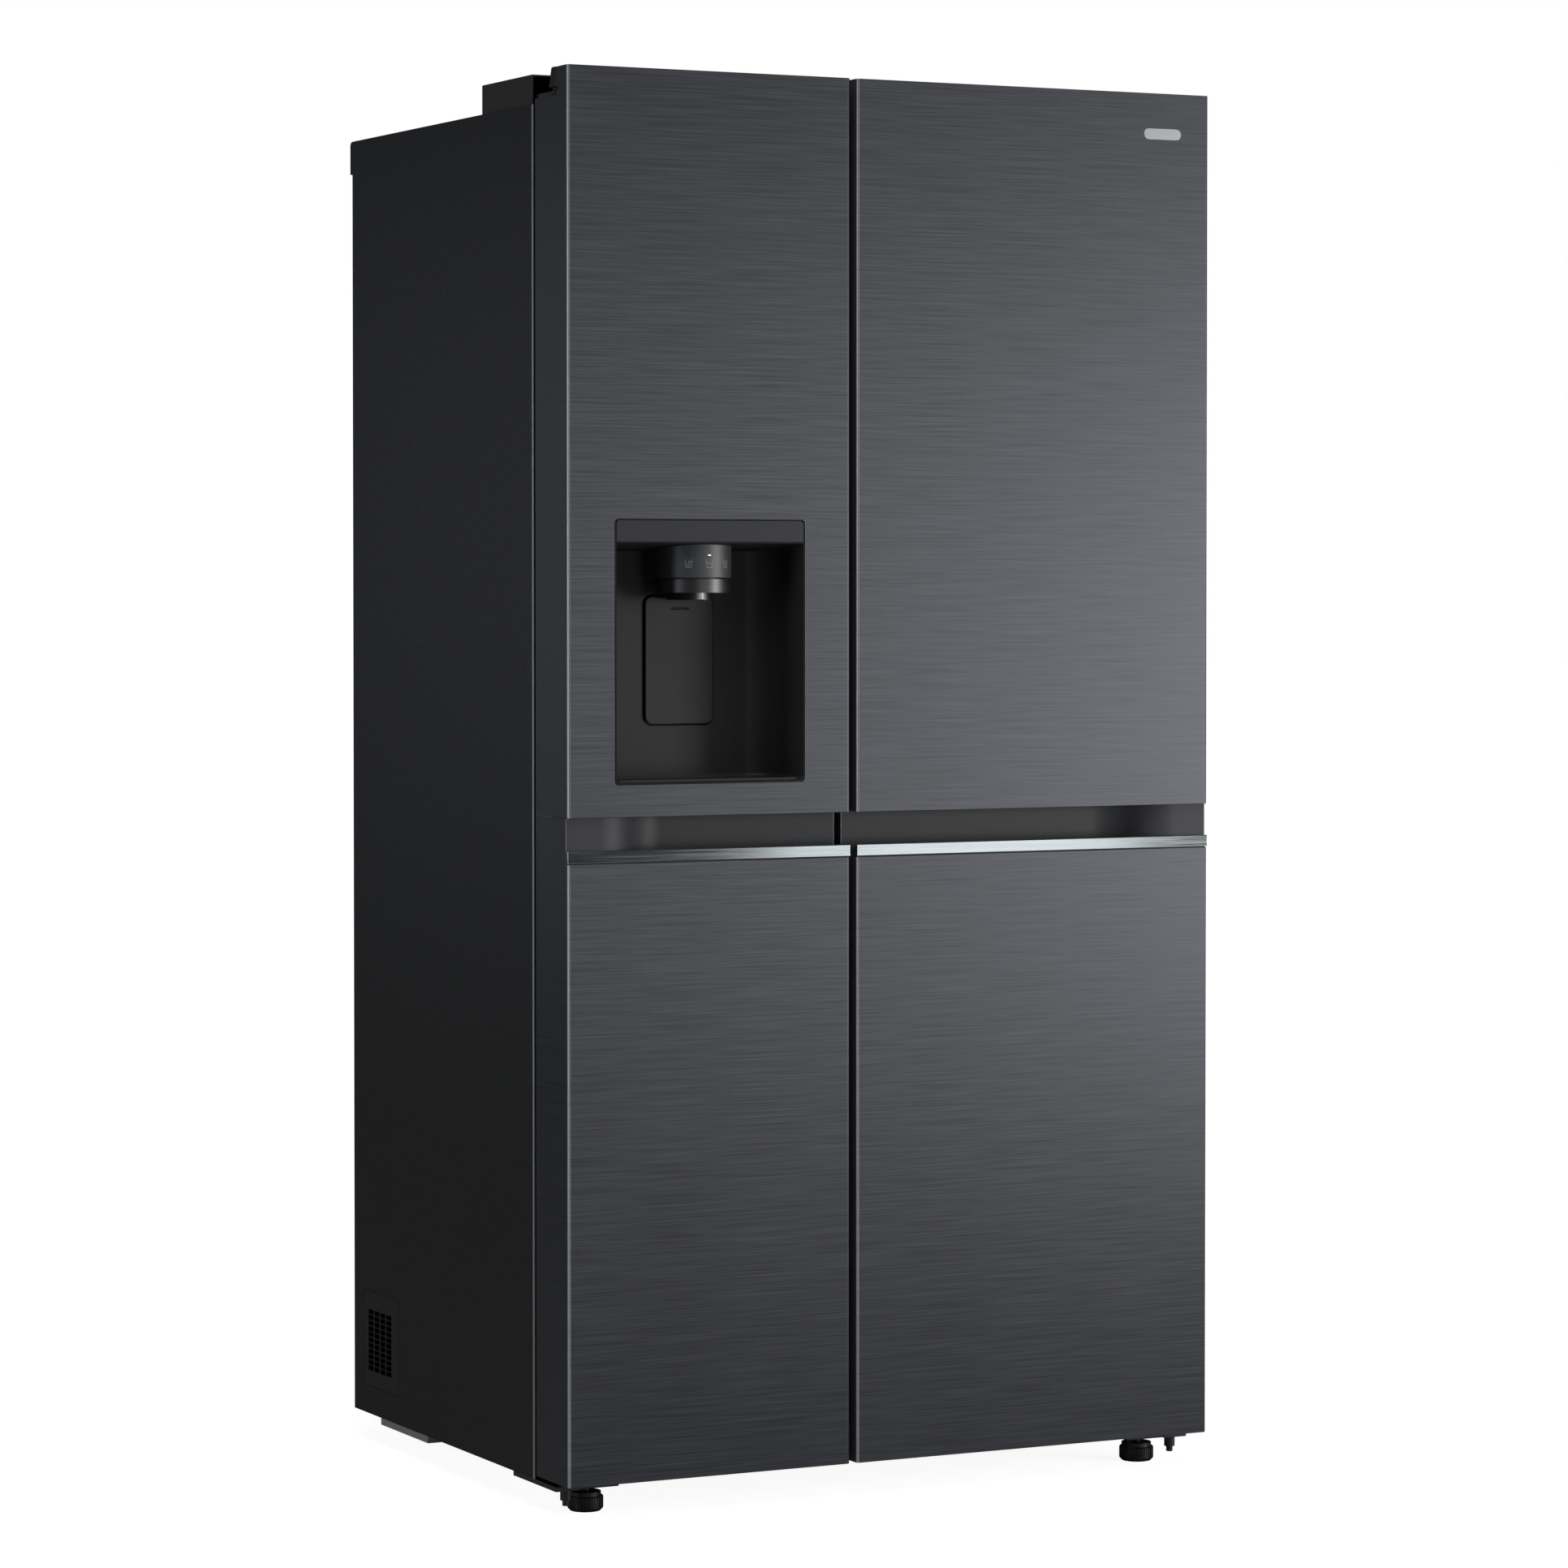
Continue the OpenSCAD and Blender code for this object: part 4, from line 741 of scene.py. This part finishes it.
refined("power_gland", RUBBER, 0.5 * MM)
refined("water_inlet", VALVE, 0.5 * MM)
refined("left_roller", FOOT, 1.5 * MM, 3)
refined("right_roller", FOOT, 1.5 * MM, 3)

mark_low, mark_high = corner("badge")
BADGE_GAP = 0.3 * MM        # between the badge plate and its hole in the door sheet
mark_outline = rounded(
    mark_low.x + BADGE_GAP, mark_high.x - BADGE_GAP, mark_low.z + BADGE_GAP, mark_high.z - BADGE_GAP,
    (mark_high.z - mark_low.z) / 2 - BADGE_LIP - BADGE_GAP,
)
badge = as_object("badge_plate", prism(mark_outline, "y", mark_low.y, mark_high.y), BADGE)
bevelled(badge, 0.25 * MM)
place(smooth(badge), "badge")


# ---------------------------------------------------------------- feet

RIBS = 40
RIB_DEPTH = 0.9 * MM
# height in millimetres with the share of the wheel's radius, from the base to the shoulder
WHEEL_ROWS = [(0.0, 0.84), (3.0, 0.97), (4.0, 1.0), (17.5, 1.0), (19.0, 0.95)]
# height and radius in millimetres, from the shoulder to the top of the stud
STUD_ROWS = [(19.0, 19.5), (24.0, 19.5), (24.0, 6.0), (25.0, 5.0), (37.5, 5.0)]


def knurled_foot(node):
    """Levelling foot: ribbed wheel with a chamfered base, a smooth shoulder and its threaded stud."""
    low, high = corner(node)
    center = (low + high) / 2
    radius = (high.x - low.x) / 2
    groove = radius - RIB_DEPTH
    ribbed = []
    for k in range(RIBS):
        for share, r in ((0.0, radius), (0.35, radius), (0.5, groove), (0.85, groove)):
            ribbed.append((2 * math.pi * (k + share) / RIBS, r))
    count = len(ribbed)
    plain = [2 * math.pi * k / count for k in range(count)]
    rows = [(height, [(a, r * share) for a, r in ribbed]) for height, share in WHEEL_ROWS]
    rows += [(height, [(a, r * MM) for a in plain]) for height, r in STUD_ROWS]
    mesh_data = bmesh.new()
    rings = [
        [
            mesh_data.verts.new((center.x + r * math.cos(a), center.y + r * math.sin(a), low.z + height * MM))
            for a, r in row
        ]
        for height, row in rows
    ]
    for a, b in zip(rings, rings[1:]):
        for k in range(count):
            n = (k + 1) % count
            mesh_data.faces.new((a[k], a[n], b[n], b[k]))
    mesh_data.faces.new(rings[0][::-1])
    mesh_data.faces.new(rings[-1])
    bmesh.ops.recalc_face_normals(mesh_data, faces=mesh_data.faces)
    place(smooth(as_object(node + "_wheel", mesh_data, FOOT), 30), node)


knurled_foot("left_foot")
knurled_foot("right_foot")


# ---------------------------------------------------------------- pieces hidden in walls and the machine room

for node, material in (
    ("cabinet_foam", FOAM), ("freezer_door_foam", FOAM), ("fridge_door_foam", FOAM),
    ("condenser_coil", COIL), ("condenser_fan_shroud", FAN), ("condenser_fan", FAN),
    ("evaporator_coil", FINS), ("evaporator_fan", FAN),
):
    for slot in frame["nodes"][node].material_slots:
        slot.material = material


# ---------------------------------------------------------------- stage, light and camera

FLOOR_LIFT = 0.92           # light the floor shows to the camera near the part, 1.0 being white
FADE_START = 0.6
FADE_END = 2.2
FLOOR_RADIUS = 60.0
FLOOR_DROP = 0.5 * MM
AMBIENT = 0.03
COOL = (0.95, 0.98, 1.04)


def floor_material():
    """Pale floor; what the camera sees of it is lifted towards the white backdrop."""
    material = new_material("pale_floor", (0.62, 0.62, 0.62), 0.9, specular=0.0)
    nodes, links = material.node_tree.nodes, material.node_tree.links
    shader = shader_of(material)
    shader.inputs["Emission Color"].default_value = (1.0, 1.0, 1.0, 1.0)
    path = nodes.new("ShaderNodeLightPath")
    spot = nodes.new("ShaderNodeTexCoord")
    reach = nodes.new("ShaderNodeVectorMath")
    reach.operation = "LENGTH"
    links.new(spot.outputs["Object"], reach.inputs[0])
    fade = nodes.new("ShaderNodeMapRange")
    fade.interpolation_type = "SMOOTHSTEP"
    fade.inputs["From Min"].default_value = FADE_START
    fade.inputs["From Max"].default_value = FADE_END
    fade.inputs["To Min"].default_value = FLOOR_LIFT
    fade.inputs["To Max"].default_value = 1.0
    links.new(reach.outputs["Value"], fade.inputs["Value"])
    lift = nodes.new("ShaderNodeMath")
    lift.operation = "MULTIPLY"
    links.new(path.outputs["Is Camera Ray"], lift.inputs[0])
    links.new(fade.outputs["Result"], lift.inputs[1])
    links.new(lift.outputs[0], shader.inputs["Emission Strength"])
    return material


floor_data = bmesh.new()
bmesh.ops.create_circle(floor_data, cap_ends=True, segments=96, radius=FLOOR_RADIUS)
bmesh.ops.translate(floor_data, verts=floor_data.verts, vec=(0, 0, -FLOOR_DROP))
floor = as_object("floor", floor_data, floor_material())

world = bpy.data.worlds.new("studio")
bpy.context.scene.world = world
world.use_nodes = True
tree = world.node_tree
tree.nodes.clear()
output = tree.nodes.new("ShaderNodeOutputWorld")
mix = tree.nodes.new("ShaderNodeMixShader")
path = tree.nodes.new("ShaderNodeLightPath")
seen = tree.nodes.new("ShaderNodeBackground")
seen.inputs["Color"].default_value = (1.0, 1.0, 1.0, 1.0)
seen.inputs["Strength"].default_value = 1.0
ambient = tree.nodes.new("ShaderNodeBackground")
ambient.inputs["Color"].default_value = (0.94, 0.97, 1.0, 1.0)
ambient.inputs["Strength"].default_value = AMBIENT
tree.links.new(path.outputs["Is Camera Ray"], mix.inputs["Fac"])
tree.links.new(ambient.outputs[0], mix.inputs[1])
tree.links.new(seen.outputs[0], mix.inputs[2])
tree.links.new(mix.outputs[0], output.inputs["Surface"])


def softbox(name, location, target, size, power, color=(1.0, 1.0, 1.0)):
    """Rectangular lamp that faces the target; size is its width and height."""
    light = bpy.data.lights.new(name, "AREA")
    light.shape = "RECTANGLE"
    light.size, light.size_y = size
    light.energy = power
    light.color = color
    lamp = bpy.data.objects.new(name, light)
    lamp.location = location
    lamp.rotation_euler = (Vector(target) - Vector(location)).to_track_quat("-Z", "Y").to_euler()
    bpy.context.scene.collection.objects.link(lamp)
    return lamp


middle = (cad_box[0] + cad_box[1]) / 2
softbox("key_right", (4.1, -4.05, 0.88), middle, (1.4, 1.6), 109)
softbox("key_high", (3.8, -4.2, 2.3), middle, (2.0, 1.2), 18)
softbox("front_fill", (0.3, -6.5, 1.3), middle, (1.6, 1.6), 16.5)
softbox("top_fill", (-0.5, -1.5, 4.2), middle, (3.0, 3.0), 62)
softbox("left_fill", (-5.2, -1.3, 1.15), middle, (1.2, 2.6), 42, COOL)
softbox("side_fill", (-3.6, 4.8, 1.3), middle, (1.6, 2.0), 9, COOL)
softbox("strip_card", (2.5, -4.8, 0.5), (0.2, -0.36, 0.8), (0.85, 0.6), 2.35)

LENS_LENGTH = 115.05        # millimetres, on a 36 mm sensor
SENSOR_WIDTH = 36.0
SHIFT_UP = -0.06
VIEW_AZIMUTH = -26.591
VIEW_DOWN = 1.296
CAMERA_PLACE = (-2.9620, -5.9556, 1.1631)
camera_data = bpy.data.cameras.new("view")
camera_data.sensor_width = SENSOR_WIDTH
camera_data.lens = LENS_LENGTH
camera_data.shift_y = SHIFT_UP
camera_data.clip_end = 200.0
camera = bpy.data.objects.new("view", camera_data)
bpy.context.scene.collection.objects.link(camera)
camera.location = CAMERA_PLACE
camera.rotation_euler = (math.radians(90 - VIEW_DOWN), 0.0, math.radians(VIEW_AZIMUTH))
bpy.context.scene.camera = camera
bpy.context.scene.view_settings.view_transform = "Standard"
